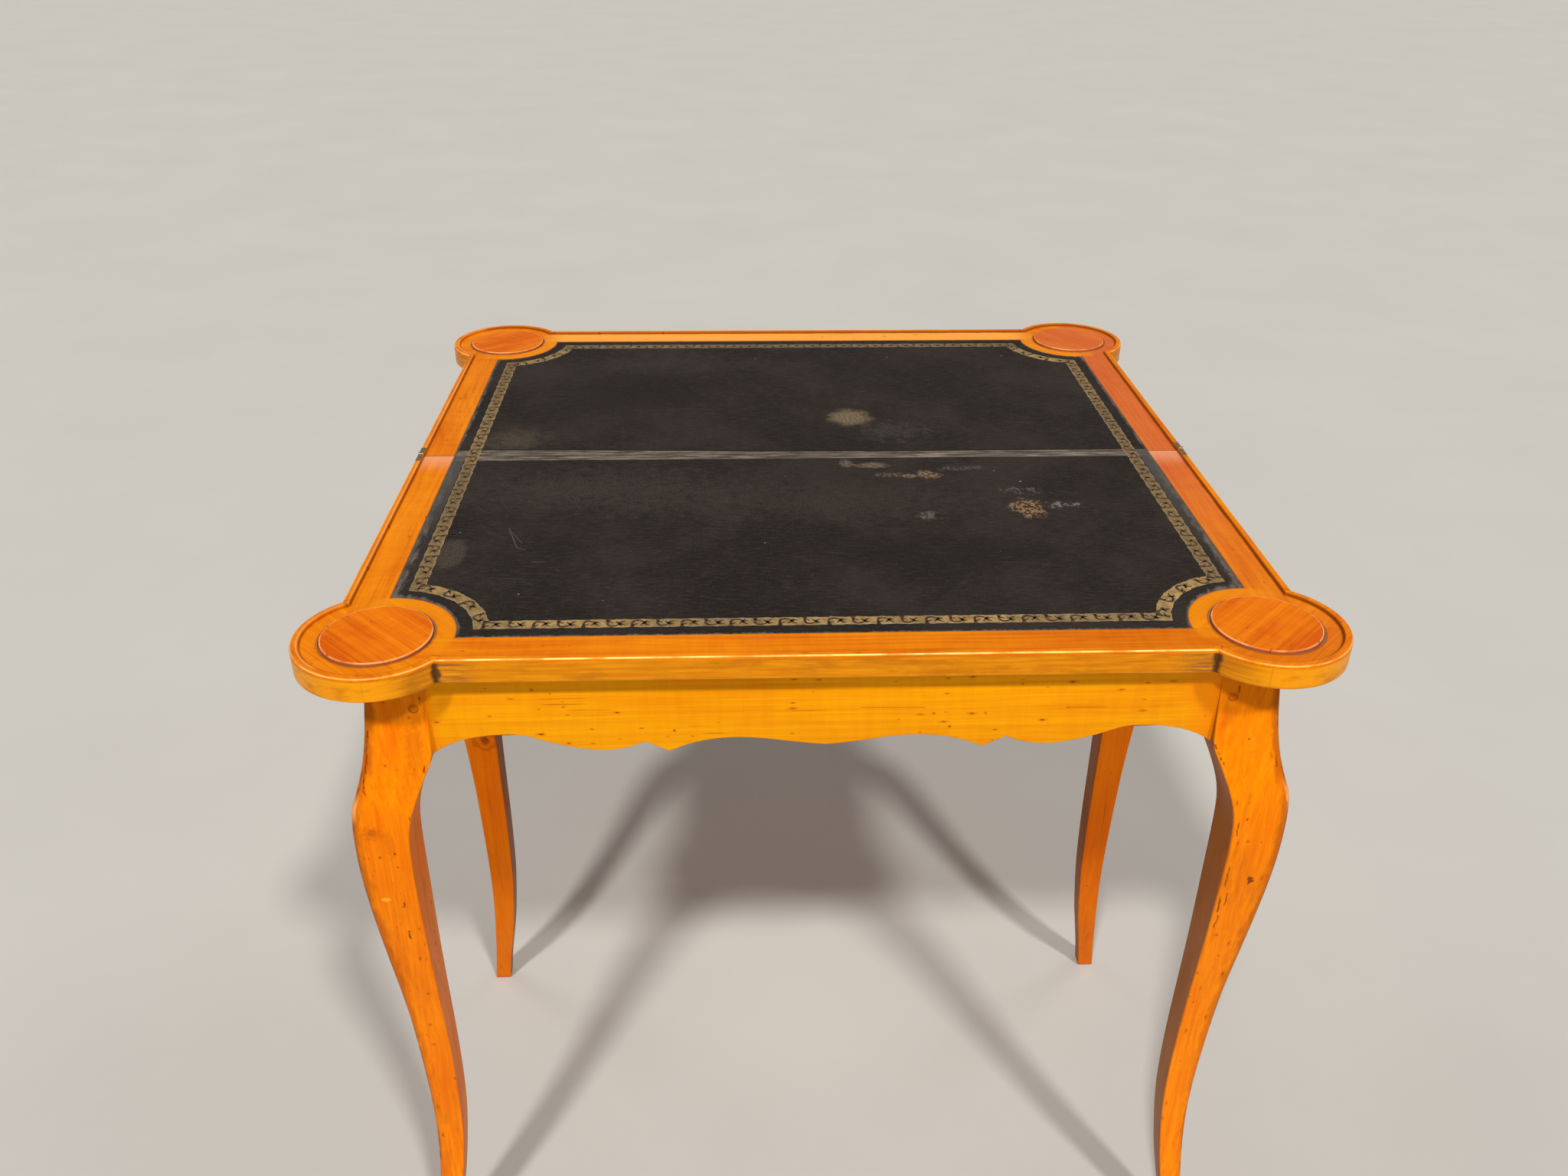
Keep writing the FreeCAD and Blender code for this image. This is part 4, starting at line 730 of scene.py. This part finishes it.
def make_gilt():
    """Rubbed gold leaf on leather, brighter at its outer edge and faded along the rear."""
    material, wires, shader, place = start_material("gold_leaf_rubbed")
    across = wires.take("ShaderNodeUVMap", 0, {"uv_map": "along_across"}).split()[1]
    sides, rear = border_fade(place, 0.55, 0.62)
    bare = place.noise(300.0, 3.0, 0.7).rise(0.62, 0.72)
    colour = cover((0.3, 0.178, 0.06), (place.noise(120.0, 4.0, 0.7).rise(0.3, 0.7), (0.58, 0.365, 0.14)),
                   (place.noise(9.0, 2.0).rise(0.35, 0.68, 0.5), (0.17, 0.115, 0.06)),
                   (sides, (0.16, 0.1, 0.045)), (abs(across).rise(0.86, 0.97, 0.5), (0.5, 0.38, 0.22)),
                   (rear, (0.145, 0.108, 0.072)), (bare, (0.06, 0.042, 0.03)))
    wires.feed_all(shader, Base_Color=colour, Metallic=(1.0 - bare) * 0.35, Roughness=0.55,
                   Specular_IOR_Level=0.2)
    return material


def make_ground():
    """Leather showing in the stamped scrolls."""
    material, wires, shader, place = start_material("leather_in_scrolls")
    sides, rear = border_fade(place, 0.4, 0.55)
    patch = place.noise(220.0, 3.0, 0.6).rise(0.35, 0.65)
    colour = cover((0.034, 0.022, 0.013), (patch, (0.095, 0.06, 0.03)), (sides, (0.105, 0.075, 0.04)),
                   (rear, (0.1, 0.078, 0.056)))
    wires.feed_all(shader, Base_Color=colour, Roughness=0.6, Specular_IOR_Level=0.2)
    return material


def make_felt():
    """Green felt with a little fuzz."""
    material, wires, shader, place = start_material("felt_green")
    fuzz = place.noise(900.0, 3.0, 0.7).rise(0.3, 0.7)
    wires.feed_all(shader, Base_Color=fuzz.blend((0.02, 0.06, 0.03), (0.05, 0.12, 0.06)), Roughness=0.95)
    return material


def paint(material, *nodes):
    """Give CAD nodes a finish."""
    for node in nodes:
        slots = NODES[node].data.materials
        slots.clear()
        slots.append(material)


def dress(woods):
    """Finishes for every CAD node. Along the top's edge the grain runs along each piece."""
    for side in ("left", "right"):
        for end in ("front", "rear"):
            lean = "falling" if (side == "left") == (end == "front") else "rising"
            paint(woods["leg"], f"leg_{end}_{side}")
            paint(woods["lipping_side"], f"{end}_{side}_side_lipping")
            paint(woods["lipping_" + lean], f"{end}_{side}_lobe_lipping")
            paint(woods["band_side"], f"{end}_{side}_side_band")
            paint(woods["ring_" + lean], f"{end}_{side}_lobe_ring")
            paint(woods["disc_" + lean], f"{end}_{side}_candle_disc")
    for end in ("front", "rear"):
        paint(woods["lipping_long"], f"{end}_long_lipping")
        paint(woods["band_long"], f"{end}_long_band")
        paint(woods["apron_long"], f"apron_{end}")
    paint(woods["board"], "front_core")
    # The rear leaf's underside is the table's top when it is folded over, so it is polished too.
    paint(woods["closed_top"], "rear_core")
    paint(woods["apron_short"], "apron_left", "apron_right")
    paint(woods["peg"], "tenon_pegs", "stop_peg")
    paint(woods["inner"], "well_floor", "well_divider", "frame_battens", "corner_blocks", "pivot_board")
    brass = plain_metal("brass_tarnished", (0.40, 0.25, 0.11), (0.19, 0.11, 0.05), 0.6)
    steel = plain_metal("steel_dull", (0.40, 0.39, 0.38), (0.24, 0.22, 0.20), 0.9)
    paint(brass, "front_hinge_strips", "rear_hinge_strips", "hinge_pins", "front_hinge_screws",
          "rear_hinge_screws", "pivot_bush")
    paint(steel, "pivot_plate", "pivot_plate_screws", "pivot_stud", "pivot_washer", "pivot_nut",
          "pivot_board_screws")
    paint(make_felt(), "felt_pads")
    paint(make_leather(), "front_leather", "rear_leather")


def add_object(name, data):
    """A new object in the scene."""
    piece = bpy.data.objects.new(name, data)
    bpy.context.scene.collection.objects.link(piece)
    return piece


def add_piece(name, mesh, material, body, *replaced, slot):
    """A finished mesh as a piece that rides on a body."""
    mesh.materials.clear()
    mesh.materials.append(material)
    piece = add_object(name, mesh)
    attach(piece, body)
    if replaced:
        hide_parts(*replaced)
    return piece


# Corners this near are one, and faces this near to flat are one face.
MERGE_DISTANCE = 0.00002
FLAT_ANGLE = math.radians(0.6)

# Worn rounding of the aprons' arrises, the feet and the pegs' ends, and the rise of a peg's dome.
APRON_EASE = 0.0009
FOOT_EASE = 0.0016
PEG_EASE = 0.0011
PEG_DOME = 0.0005

# How far the point of a knee stands out and how soon that dies away.
KNEE_NOSE = 0.0013
KNEE_NOSE_REACH = 0.011

# A leg's levels, the steps of an arris, how far a cut keeps from the ends, and the four arrises
# in turn, as right and rear.
LEG_LEVELS = 96
ARRIS_STEPS = 6
CUT_ROOM = 0.0004
LEG_QUARTERS = ((True, True), (False, True), (False, False), (True, False))


def evaluated_mesh(piece):
    """The piece's mesh with its modifiers applied. The piece itself is deleted."""
    depsgraph = bpy.context.evaluated_depsgraph_get()
    mesh = bpy.data.meshes.new_from_object(piece.evaluated_get(depsgraph), depsgraph=depsgraph)
    bpy.data.objects.remove(piece)
    return mesh


def merged_shell(mesh):
    """A mesh opened for changes, with its doubled corners merged and its flat faces made whole."""
    shell = bmesh.new()
    shell.from_mesh(mesh)
    bmesh.ops.remove_doubles(shell, verts=shell.verts, dist=MERGE_DISTANCE)
    bmesh.ops.dissolve_limit(shell, angle_limit=FLAT_ANGLE, verts=shell.verts, edges=shell.edges)
    return shell


def close_shell(shell, mesh):
    """Write a changed shell to a mesh."""
    shell.to_mesh(mesh)
    shell.free()
    return mesh


def eased_apron(node):
    """An apron's mesh with its arrises rounded, except at its joints with the legs."""
    mesh = NODES[node].data.copy()
    shell = merged_shell(mesh)
    weights = shell.edges.layers.float.new("bevel_weight_edge")

    def at_leg(place):
        return abs(place.x) > SHOULDER_X and abs(place.y - BASE_MIDDLE) > SHOULDER_Y

    for edge in shell.edges:
        sharp = edge.is_manifold and edge.calc_face_angle() > math.radians(50)
        edge[weights] = 1.0 if sharp and not all(at_leg(end.co) for end in edge.verts) else 0.0
    piece = add_object(node + "_copy", close_shell(shell, mesh))
    bevel = piece.modifiers.new("eased", "BEVEL")
    bevel.width = APRON_EASE
    bevel.segments = 3
    bevel.limit_method = "WEIGHT"
    mesh = evaluated_mesh(piece)
    mesh.shade_smooth()
    mesh.set_sharp_from_angle(angle=math.radians(32))
    return mesh


def node_corners(node):
    """The corners of a node's triangles."""
    source = NODES[node].data
    source.calc_loop_triangles()
    points = np.array([vertex.co[:] for vertex in source.vertices])
    return points[np.array([triangle.vertices[:] for triangle in source.loop_triangles])]


def leg_section(corners, level):
    """Lowest and highest x and y where a level plane cuts a leg's triangles."""
    starts = corners.reshape(-1, 3)
    ends = corners[:, (1, 2, 0)].reshape(-1, 3)
    crossing = (starts[:, 2] - level) * (ends[:, 2] - level) < 0
    start, end = starts[crossing], ends[crossing]
    share = (level - start[:, 2]) / (end[:, 2] - start[:, 2])
    cut = start + share[:, None] * (end - start)
    return cut[:, 0].min(), cut[:, 0].max(), cut[:, 1].min(), cut[:, 1].max()


def leg_arris(level, outer):
    """Radius of a leg's arris: the outer one well rounded at the knee, the others crisper."""
    heights = (0, 0.08, 0.5, 0.6, 0.634, 0.640, FRAME_TOP)
    radii = (0.0010, 0.0012, 0.0016, 0.0014, 0.0012, 0.0003, 0.0003)
    if outer:
        radii = (0.0020, 0.0034, 0.0052, 0.0046, 0.0036, 0.0034, 0.0024)
    return float(np.interp(level, heights, radii))


def leg_ring(corners, height):
    """A level of a leg: its height, and lowest and highest x and y with the nose of the knee."""
    low_x, high_x, low_y, high_y = leg_section(corners, min(max(height, CUT_ROOM), FRAME_TOP - CUT_ROOM))
    nose = KNEE_NOSE * math.exp(-abs(height - KNEE_HEIGHT) / KNEE_NOSE_REACH)
    if high_x > 0:
        high_x += nose
    else:
        low_x -= nose
    if high_y > BASE_MIDDLE:
        high_y += nose
    else:
        low_y -= nose
    return height, low_x, high_x, low_y, high_y


def skin_marks(loops, outer_quarter):
    """For each corner of a leg, the distance from its outer arris and the quarters of the way
    round, which count up over the sides that face right or left inside the table, and down the
    other way."""
    start = outer_quarter * (ARRIS_STEPS + 1) + ARRIS_STEPS // 2
    way = 1 if outer_quarter % 2 == 0 else -1
    marks = {}
    for loop in loops:
        turned = loop[start:] + loop[:start + 1]
        spans = [(after.co - before.co).length for before, after in zip(turned, turned[1:])]
        reach = 0.0
        for vertex, span in zip(turned, spans):
            near = min(reach, sum(spans) - reach)
            marks[vertex] = (near, (way if near == reach else -way) * 4 * near / sum(spans))
            reach += span
    return marks


def shape_leg(node):
    """The leg as a loft of rounded squares, so that its arrises are worn as real ones are."""
    corners = node_corners(node)
    shell = bmesh.new()
    rings = [leg_ring(corners, FRAME_TOP * (step / LEG_LEVELS)) for step in range(LEG_LEVELS + 1)]
    foot = rings[0]
    rings[0] = (FOOT_EASE, *foot[1:])
    rings.insert(0, (0.0, foot[1] + FOOT_EASE, foot[2] - FOOT_EASE,
                     foot[3] + FOOT_EASE, foot[4] - FOOT_EASE))
    to_right, to_back = foot[1] > 0, foot[3] > BASE_MIDDLE
    loops = []
    for height, low_x, high_x, low_y, high_y in rings:
        loop = []
        for quarter, (right, back) in enumerate(LEG_QUARTERS):
            radius = leg_arris(height, right == to_right and back == to_back)
            mid_x = high_x - radius if right else low_x + radius
            mid_y = high_y - radius if back else low_y + radius
            for step in range(ARRIS_STEPS + 1):
                turn = math.radians(90 * quarter + 90 * step / ARRIS_STEPS)
                loop.append(shell.verts.new((mid_x + radius * math.cos(turn),
                                             mid_y + radius * math.sin(turn), height)))
        loops.append(loop)
    layer = shell.loops.layers.uv.new("from_outer_arris")
    marks = skin_marks(loops, LEG_QUARTERS.index((to_right, to_back)))
    for below, above in zip(loops, loops[1:]):
        for index in range(len(below)):
            after = (index + 1) % len(below)
            shell.faces.new((below[index], below[after], above[after], above[index]))
    shell.faces.new(reversed(loops[0]))
    shell.faces.new(loops[-1])
    for face in shell.faces:
        for corner in face.loops:
            corner[layer].uv = marks[corner.vert]
    bmesh.ops.recalc_face_normals(shell, faces=shell.faces)
    mesh = close_shell(shell, bpy.data.meshes.new(node + "_shaped"))
    mesh.shade_smooth()
    piece = add_object(node + "_copy", mesh)
    piece.modifiers.new("flat_faces", "WEIGHTED_NORMAL").keep_sharp = True
    return evaluated_mesh(piece)


def shape_pegs():
    """The tenon pegs, with their ends trimmed to the legs' faces and a little domed."""
    mesh = NODES["tenon_pegs"].data.copy()
    shell = merged_shell(mesh)
    legs = {(side == "right", end == "rear"): node_corners(f"leg_{end}_{side}")
            for side in ("left", "right") for end in ("front", "rear")}
    ends = []
    for face in shell.faces:
        middle = face.calc_center_median()
        way = Vector((round(face.normal.x), round(face.normal.y), 0))
        outward = way.dot(Vector((middle.x, middle.y - BASE_MIDDLE, 0))) > 0
        if way.length > 0.9 and outward and len(face.verts) > 8:
            ends.append((face, way))
    for face, way in ends:
        crown = bmesh.ops.inset_region(shell, faces=[face], thickness=PEG_EASE, use_even_offset=True)
        inner = set(face.verts)
        outer = {vertex for ring in crown["faces"] for vertex in ring.verts} - inner
        for vertex in inner | outer:
            corners = legs[vertex.co.x > 0, vertex.co.y > BASE_MIDDLE]
            low_x, high_x, low_y, high_y = leg_section(corners, vertex.co.z)
            rise = PEG_DOME if vertex in inner else 0.0
            if way.x:
                vertex.co.x = high_x + rise if way.x > 0 else low_x - rise
            else:
                vertex.co.y = high_y + rise if way.y > 0 else low_y - rise
    close_shell(shell, mesh).shade_smooth()
    mesh.set_sharp_from_angle(angle=math.radians(40))
    return mesh


def make_frame_pieces(woods):
    """Worn pegs, legs and aprons in place of the CAD's crisp ones."""

    def replace(node, mesh, look, slot):
        add_piece(node + "_worn", mesh, woods[look], "frame", node, slot=slot)

    replace("tenon_pegs", shape_pegs(), "peg", "peg_wood")
    for side in ("left", "right"):
        for leg in (f"leg_front_{side}", f"leg_rear_{side}"):
            replace(leg, shape_leg(leg), "leg", "leg_wood")
        replace("apron_" + side, eased_apron("apron_" + side), "apron_short", "apron_wood")
    for end in ("front", "rear"):
        replace("apron_" + end, eased_apron("apron_" + end), "apron_long", "apron_wood")


def border_runs(end):
    """The points of the middle line of a leaf's gilt border: side, corner, long side, corner and
    side. end is -1 for the front leaf and 1 for the rear one."""
    middle = LEATHER_EDGE - (GILT_OUTER + GILT_INNER) / 2
    radius = HOLLOW_RADIUS + (GILT_OUTER + GILT_INNER) / 2
    lean = math.asin((LOBE_X - middle) / radius)
    corner = LOBE_X - radius * math.cos(lean)
    arc_steps = 40
    arc = [(lean + (math.pi / 2 - 2 * lean) * step / arc_steps) for step in range(arc_steps + 1)]
    left = [(-LOBE_X + radius * math.sin(turn), LOBE_X - radius * math.cos(turn)) for turn in arc]
    runs = [[(-middle, LEATHER_FOLD), (-middle, corner)], left, [(-corner, middle), (corner, middle)],
            [(-x, y) for x, y in reversed(left)], [(middle, corner), (middle, LEATHER_FOLD)]]
    return [[Vector((-end * x, end * y, 0)) for x, y in run] for run in runs]


def even_points(run, step, margin=0.0):
    """Points a step or so apart along a run, from one margin to the other."""
    reaches = [0.0]
    for start, end in zip(run, run[1:]):
        reaches.append(reaches[-1] + (end - start).length)
    count = max(1, round((reaches[-1] - 2 * margin) / step))
    points = []
    for index in range(count + 1):
        reach = margin + (reaches[-1] - 2 * margin) * index / count
        place = next(place for place in range(len(run) - 1) if reaches[place + 1] >= reach - 1e-9)
        share = (reach - reaches[place]) / (reaches[place + 1] - reaches[place])
        points.append(run[place].lerp(run[place + 1], min(max(share, 0), 1)))
    return points


def make_gilt_band(end, runs):
    """The gilt band as a thin strip: mitred at its corners, and a little fuller at each scroll."""
    line = []
    for run in runs:
        points = even_points(run, 0.0014)
        line.extend(points if not line else points[1:])
    shell = bmesh.new()
    layer = shell.loops.layers.uv.new("along_across")
    rows = []
    reach = 0.0
    for index, point in enumerate(line):
        before = (point - line[index - 1]).normalized() if index else (line[1] - point).normalized()
        after = (line[index + 1] - point).normalized() if index + 1 < len(line) else before
        if index:
            reach += (point - line[index - 1]).length
        aside = (before + after).normalized().cross(UP)
        mitre = 1 / max(aside.dot(before.cross(UP)), 0.5)
        swell = 1 + 0.055 * math.sin(2 * math.pi * reach / GILT_STEP) + 0.03 * math.sin(reach * 913)
        half = mitre * (GILT_INNER - GILT_OUTER) / 2 * swell
        row = []
        for share in (-1, 0, 1):
            place = point + share * half * aside
            row.append((shell.verts.new((place.x, place.y, LEATHER_TOP + GILT_LIFT)), (reach, share)))
        rows.append(row)
    for row, following in zip(rows, rows[1:]):
        for index in (0, 1):
            loop = (row[index], row[index + 1], following[index + 1], following[index])
            face = shell.faces.new([vertex for vertex, mark in loop])
            for corner, (vertex, mark) in zip(face.loops, loop):
                corner[layer].uv = mark
    mesh = close_shell(shell, bpy.data.meshes.new("gilt_band_" + end))
    if mesh.polygons[0].normal.z < 0:
        mesh.flip_normals()
    return mesh


# One scroll in shares of its step and of the band's half width: strokes as their points and
# half widths at the start, middle and end, and the notch where it starts.
SCROLL_STROKES = (
    (((-0.40, 0.62), (-0.52, -0.95), (-0.10, -1.05), (0.17, -0.10)), (0.17, 0.20, 0.12)),
    (((-0.05, 0.52), (0.04, 0.16), (0.12, -0.22), (0.22, -0.66)), (0.08, 0.18, 0.09)),
    (((0.07, -0.08), (0.14, 0.06), (0.20, 0.44), (0.34, 0.56)), (0.17, 0.17, 0.08)),
    (((0.14, -0.16), (0.20, -0.18), (0.26, -0.30), (0.36, -0.38)), (0.15, 0.14, 0.06)),
    (((-0.36, 0.34), (-0.30, 0.44), (-0.25, 0.26), (-0.17, 0.10)), (0.14, 0.14, 0.06)))
SCROLL_NOTCH = ((-0.52, 1.10), (-0.29, 1.10), (-0.33, 0.60), (-0.38, 0.36), (-0.47, 0.50))
STROKE_STEPS = 7
STROKE_WEIGHT = 1.12


def make_scroll(name, side):
    """One stamped scroll, starting from the band's edge at that side, flat and facing up."""
    half = (GILT_INNER - GILT_OUTER) / 2
    shell = bmesh.new()

    def spot(along, across):
        return Vector((along * GILT_STEP, side * across * half, 0))

    for points, widths in SCROLL_STROKES:
        first, second, third, last = [spot(*point) for point in points]
        rails = []
        for step in range(STROKE_STEPS + 1):
            t = step / STROKE_STEPS
            s = 1 - t
            place = s ** 3 * first + 3 * s * s * t * second + 3 * s * t * t * third + t ** 3 * last
            heading = s * s * (second - first) + 2 * s * t * (third - second) + t * t * (last - third)
            aside = heading.normalized().cross(UP)
            width = float(np.interp(t, (0, 0.5, 1), widths)) * half * STROKE_WEIGHT
            rails.append([shell.verts.new(place - width * aside), shell.verts.new(place + width * aside)])
        for rail, following in zip(rails, rails[1:]):
            shell.faces.new((rail[0], rail[1], following[1], following[0]))
    shell.faces.new([shell.verts.new(spot(*point)) for point in SCROLL_NOTCH])
    for face in shell.faces:
        face.normal_update()
        if face.normal.z < 0:
            face.normal_flip()
    piece = add_object(name, close_shell(shell, bpy.data.meshes.new(name)))
    piece.hide_render = True
    return piece


def make_scroll_tree():
    """Geometry nodes that stamp two scrolls in turn along each run of the border."""
    tree = bpy.data.node_groups.new("Scroll Border", "GeometryNodeTree")
    tree.interface.new_socket("Geometry", in_out="OUTPUT", socket_type="NodeSocketGeometry")
    tree.interface.new_socket("Geometry", in_out="INPUT", socket_type="NodeSocketGeometry")
    sockets = {"First Scroll": "NodeSocketObject", "Second Scroll": "NodeSocketObject",
               "Step": "NodeSocketFloat", "Size Spread": "NodeSocketFloat", "Ground": "NodeSocketMaterial"}
    for label, kind in sockets.items():
        tree.interface.new_socket(label, in_out="INPUT", socket_type=kind)
    wires = Wires(tree)
    given = wires.all_outputs("NodeGroupInput")
    curve = wires.put("GeometryNodeMeshToCurve", Mesh=given["Geometry"])
    spaced = wires.put("GeometryNodeResampleCurve", {"mode": "LENGTH"}, Curve=curve.outputs[0],
                       Length=given["Step"])
    facing = wires.put("FunctionNodeAlignRotationToVector", {"axis": "X"},
                       Vector=wires.take("GeometryNodeInputTangent", 0))
    choice = wires.math("MODULO", wires.take("GeometryNodeInputIndex", 0), 2.0)
    sizes = wires.put("FunctionNodeRandomValue", {"data_type": "FLOAT"})
    wires.feed(sizes.inputs[2], 1.0 - given["Size Spread"])
    wires.feed(sizes.inputs[3], 1.0)
    sizes.inputs["Seed"].default_value = 7
    points = spaced.outputs[0]
    joined = wires.put("GeometryNodeJoinGeometry")
    for label, share in (("First Scroll", 0.0), ("Second Scroll", 1.0)):
        scroll = wires.put("GeometryNodeObjectInfo", Object=given[label], As_Instance=True)
        chosen = wires.put("FunctionNodeCompare", {"data_type": "FLOAT", "operation": "EQUAL"})
        wires.feed(chosen.inputs[0], choice)
        wires.feed(chosen.inputs[1], share)
        stamped = wires.put("GeometryNodeInstanceOnPoints", Points=points, Selection=chosen.outputs[0],
                            Instance=scroll.outputs["Geometry"], Rotation=facing.outputs[0])
        wires.feed(stamped.inputs["Scale"], sizes.outputs[1])
        tree.links.new(stamped.outputs[0], joined.inputs[0])
    real = wires.put("GeometryNodeRealizeInstances", Geometry=joined.outputs[0])
    painted = wires.put("GeometryNodeSetMaterial", Geometry=real.outputs[0], Material=given["Ground"])
    wires.feed(wires.put("NodeGroupOutput").inputs[0], painted.outputs[0])
    return tree


def make_border():
    """Gilt band and stamped scrolls on the leather of both leaves."""
    gilt, ground = make_gilt(), make_ground()
    scrolls = {"First Scroll": make_scroll("scroll_outward", -1),
               "Second Scroll": make_scroll("scroll_inward", 1)}
    tree = make_scroll_tree()
    keys = {item.name: item.identifier for item in tree.interface.items_tree if item.in_out == "INPUT"}
    for end, way in (("front", -1), ("rear", 1)):
        runs = border_runs(way)
        add_piece("gilt_band_" + end, make_gilt_band(end, runs), gilt, end + "_leaf", slot="leather")
        line = bmesh.new()
        for run in runs:
            spots = [line.verts.new((point.x, point.y, LEATHER_TOP + SCROLL_LIFT))
                     for point in even_points(run, 0.004, GILT_STEP / 2)]
            for start, stop in zip(spots, spots[1:]):
                line.edges.new((start, stop))
        name = "scroll_line_" + end
        path = add_object(name, close_shell(line, bpy.data.meshes.new(name)))
        border = path.modifiers.new("scrolls", "NODES")
        border.node_group = tree
        for label, scroll in scrolls.items():
            border[keys[label]] = scroll
        border[keys["Step"]] = GILT_STEP
        border[keys["Size Spread"]] = SCROLL_SPREAD
        border[keys["Ground"]] = ground
        add_piece("stamped_scrolls_" + end, evaluated_mesh(path), ground, end + "_leaf", slot="leather")
    for scroll in scrolls.values():
        bpy.data.objects.remove(scroll)


# The photograph's view, worked out from the square top and the legs: place, tilt down, turn to
# the right and roll in degrees, and lens for a film this wide.
VIEW_PLACE = Vector((-0.0739, -1.2859, 1.2878))
VIEW_DOWN, VIEW_RIGHT, VIEW_ROLL = 29.16, 2.38, -0.50
VIEW_LENS, VIEW_FILM = 30.29, 36

# Far lamps: name, degrees round from the front towards the right, degrees up, spread and level.
LAMPS = (("left_lamp", -23, 50, 5, 0.60), ("right_lamp", 27, 50, 5, 0.52), ("low_lamp", 4, 12, 40, 0.08),
         ("left_back_lamp", -125, 45, 20, 0.10), ("right_back_lamp", 125, 45, 20, 0.10))
FLOOR_REACH = 30.0
SURROUND = (0.17, 0.17, 0.17, 1)


def towards(around, above):
    """The way to a place so many degrees round from the front and so many up."""
    turn, rise = math.radians(around), math.radians(above)
    return Vector((math.sin(turn) * math.cos(rise), -math.cos(turn) * math.cos(rise), math.sin(rise)))


def make_camera():
    """The camera with the photograph's view."""
    turn, roll = math.radians(VIEW_RIGHT), math.radians(VIEW_ROLL)
    ahead = -towards(-VIEW_RIGHT, VIEW_DOWN)
    level = Vector((math.cos(turn), -math.sin(turn), 0))
    below = ahead.cross(level)
    right = math.cos(roll) * level + math.sin(roll) * below
    low = math.cos(roll) * below - math.sin(roll) * level
    data = bpy.data.cameras.new("view")
    data.sensor_fit = "HORIZONTAL"
    data.sensor_width = VIEW_FILM
    data.lens = VIEW_LENS
    camera = add_object("view", data)
    turned = Matrix((right, -low, -ahead)).transposed().to_4x4()
    camera.matrix_world = Matrix.Translation(VIEW_PLACE) @ turned
    bpy.context.scene.camera = camera


def make_lamp(name, around, above, spread, level):
    """A far lamp. At level 1 it alone lights a surface that faces it just as the surface's colour
    is written."""
    data = bpy.data.lights.new(name, "SUN")
    data.energy = level * math.pi
    data.angle = math.radians(spread)
    light = add_object(name, data)
    light.location = 4 * towards(around, above)
    light.rotation_mode = "QUATERNION"
    light.rotation_quaternion = towards(around, above).to_track_quat("Z", "Y")


def make_stage():
    """Pale floor, two lamps and a low weak one at the front, two weak ones behind and an even
    grey surround."""
    mesh = bpy.data.meshes.new("floor")
    corners = [(x * FLOOR_REACH, y * FLOOR_REACH, 0) for x, y in ((-1, -1), (1, -1), (1, 1), (-1, 1))]
    mesh.from_pydata(corners, [], [(0, 1, 2, 3)])
    floor = add_object("floor", mesh)
    material, wires, shader, place = start_material("floor_pale")
    speckle = place.noise(2.2, 5.0, 0.6)
    wires.feed_all(shader, Base_Color=speckle.blend((0.49, 0.465, 0.42), (0.55, 0.525, 0.48)),
                   Roughness=0.7, Specular_IOR_Level=0.2)
    mesh.materials.append(material)
    world = bpy.data.worlds.new("surround")
    world.use_nodes = True
    world.node_tree.nodes["Background"].inputs["Color"].default_value = SURROUND
    bpy.context.scene.world = world
    for row in LAMPS:
        make_lamp(*row)


make_camera()
make_stage()
finishes = make_woods()
dress(finishes)
make_frame_pieces(finishes)
make_border()

bpy.context.scene.view_settings.view_transform = "Standard"
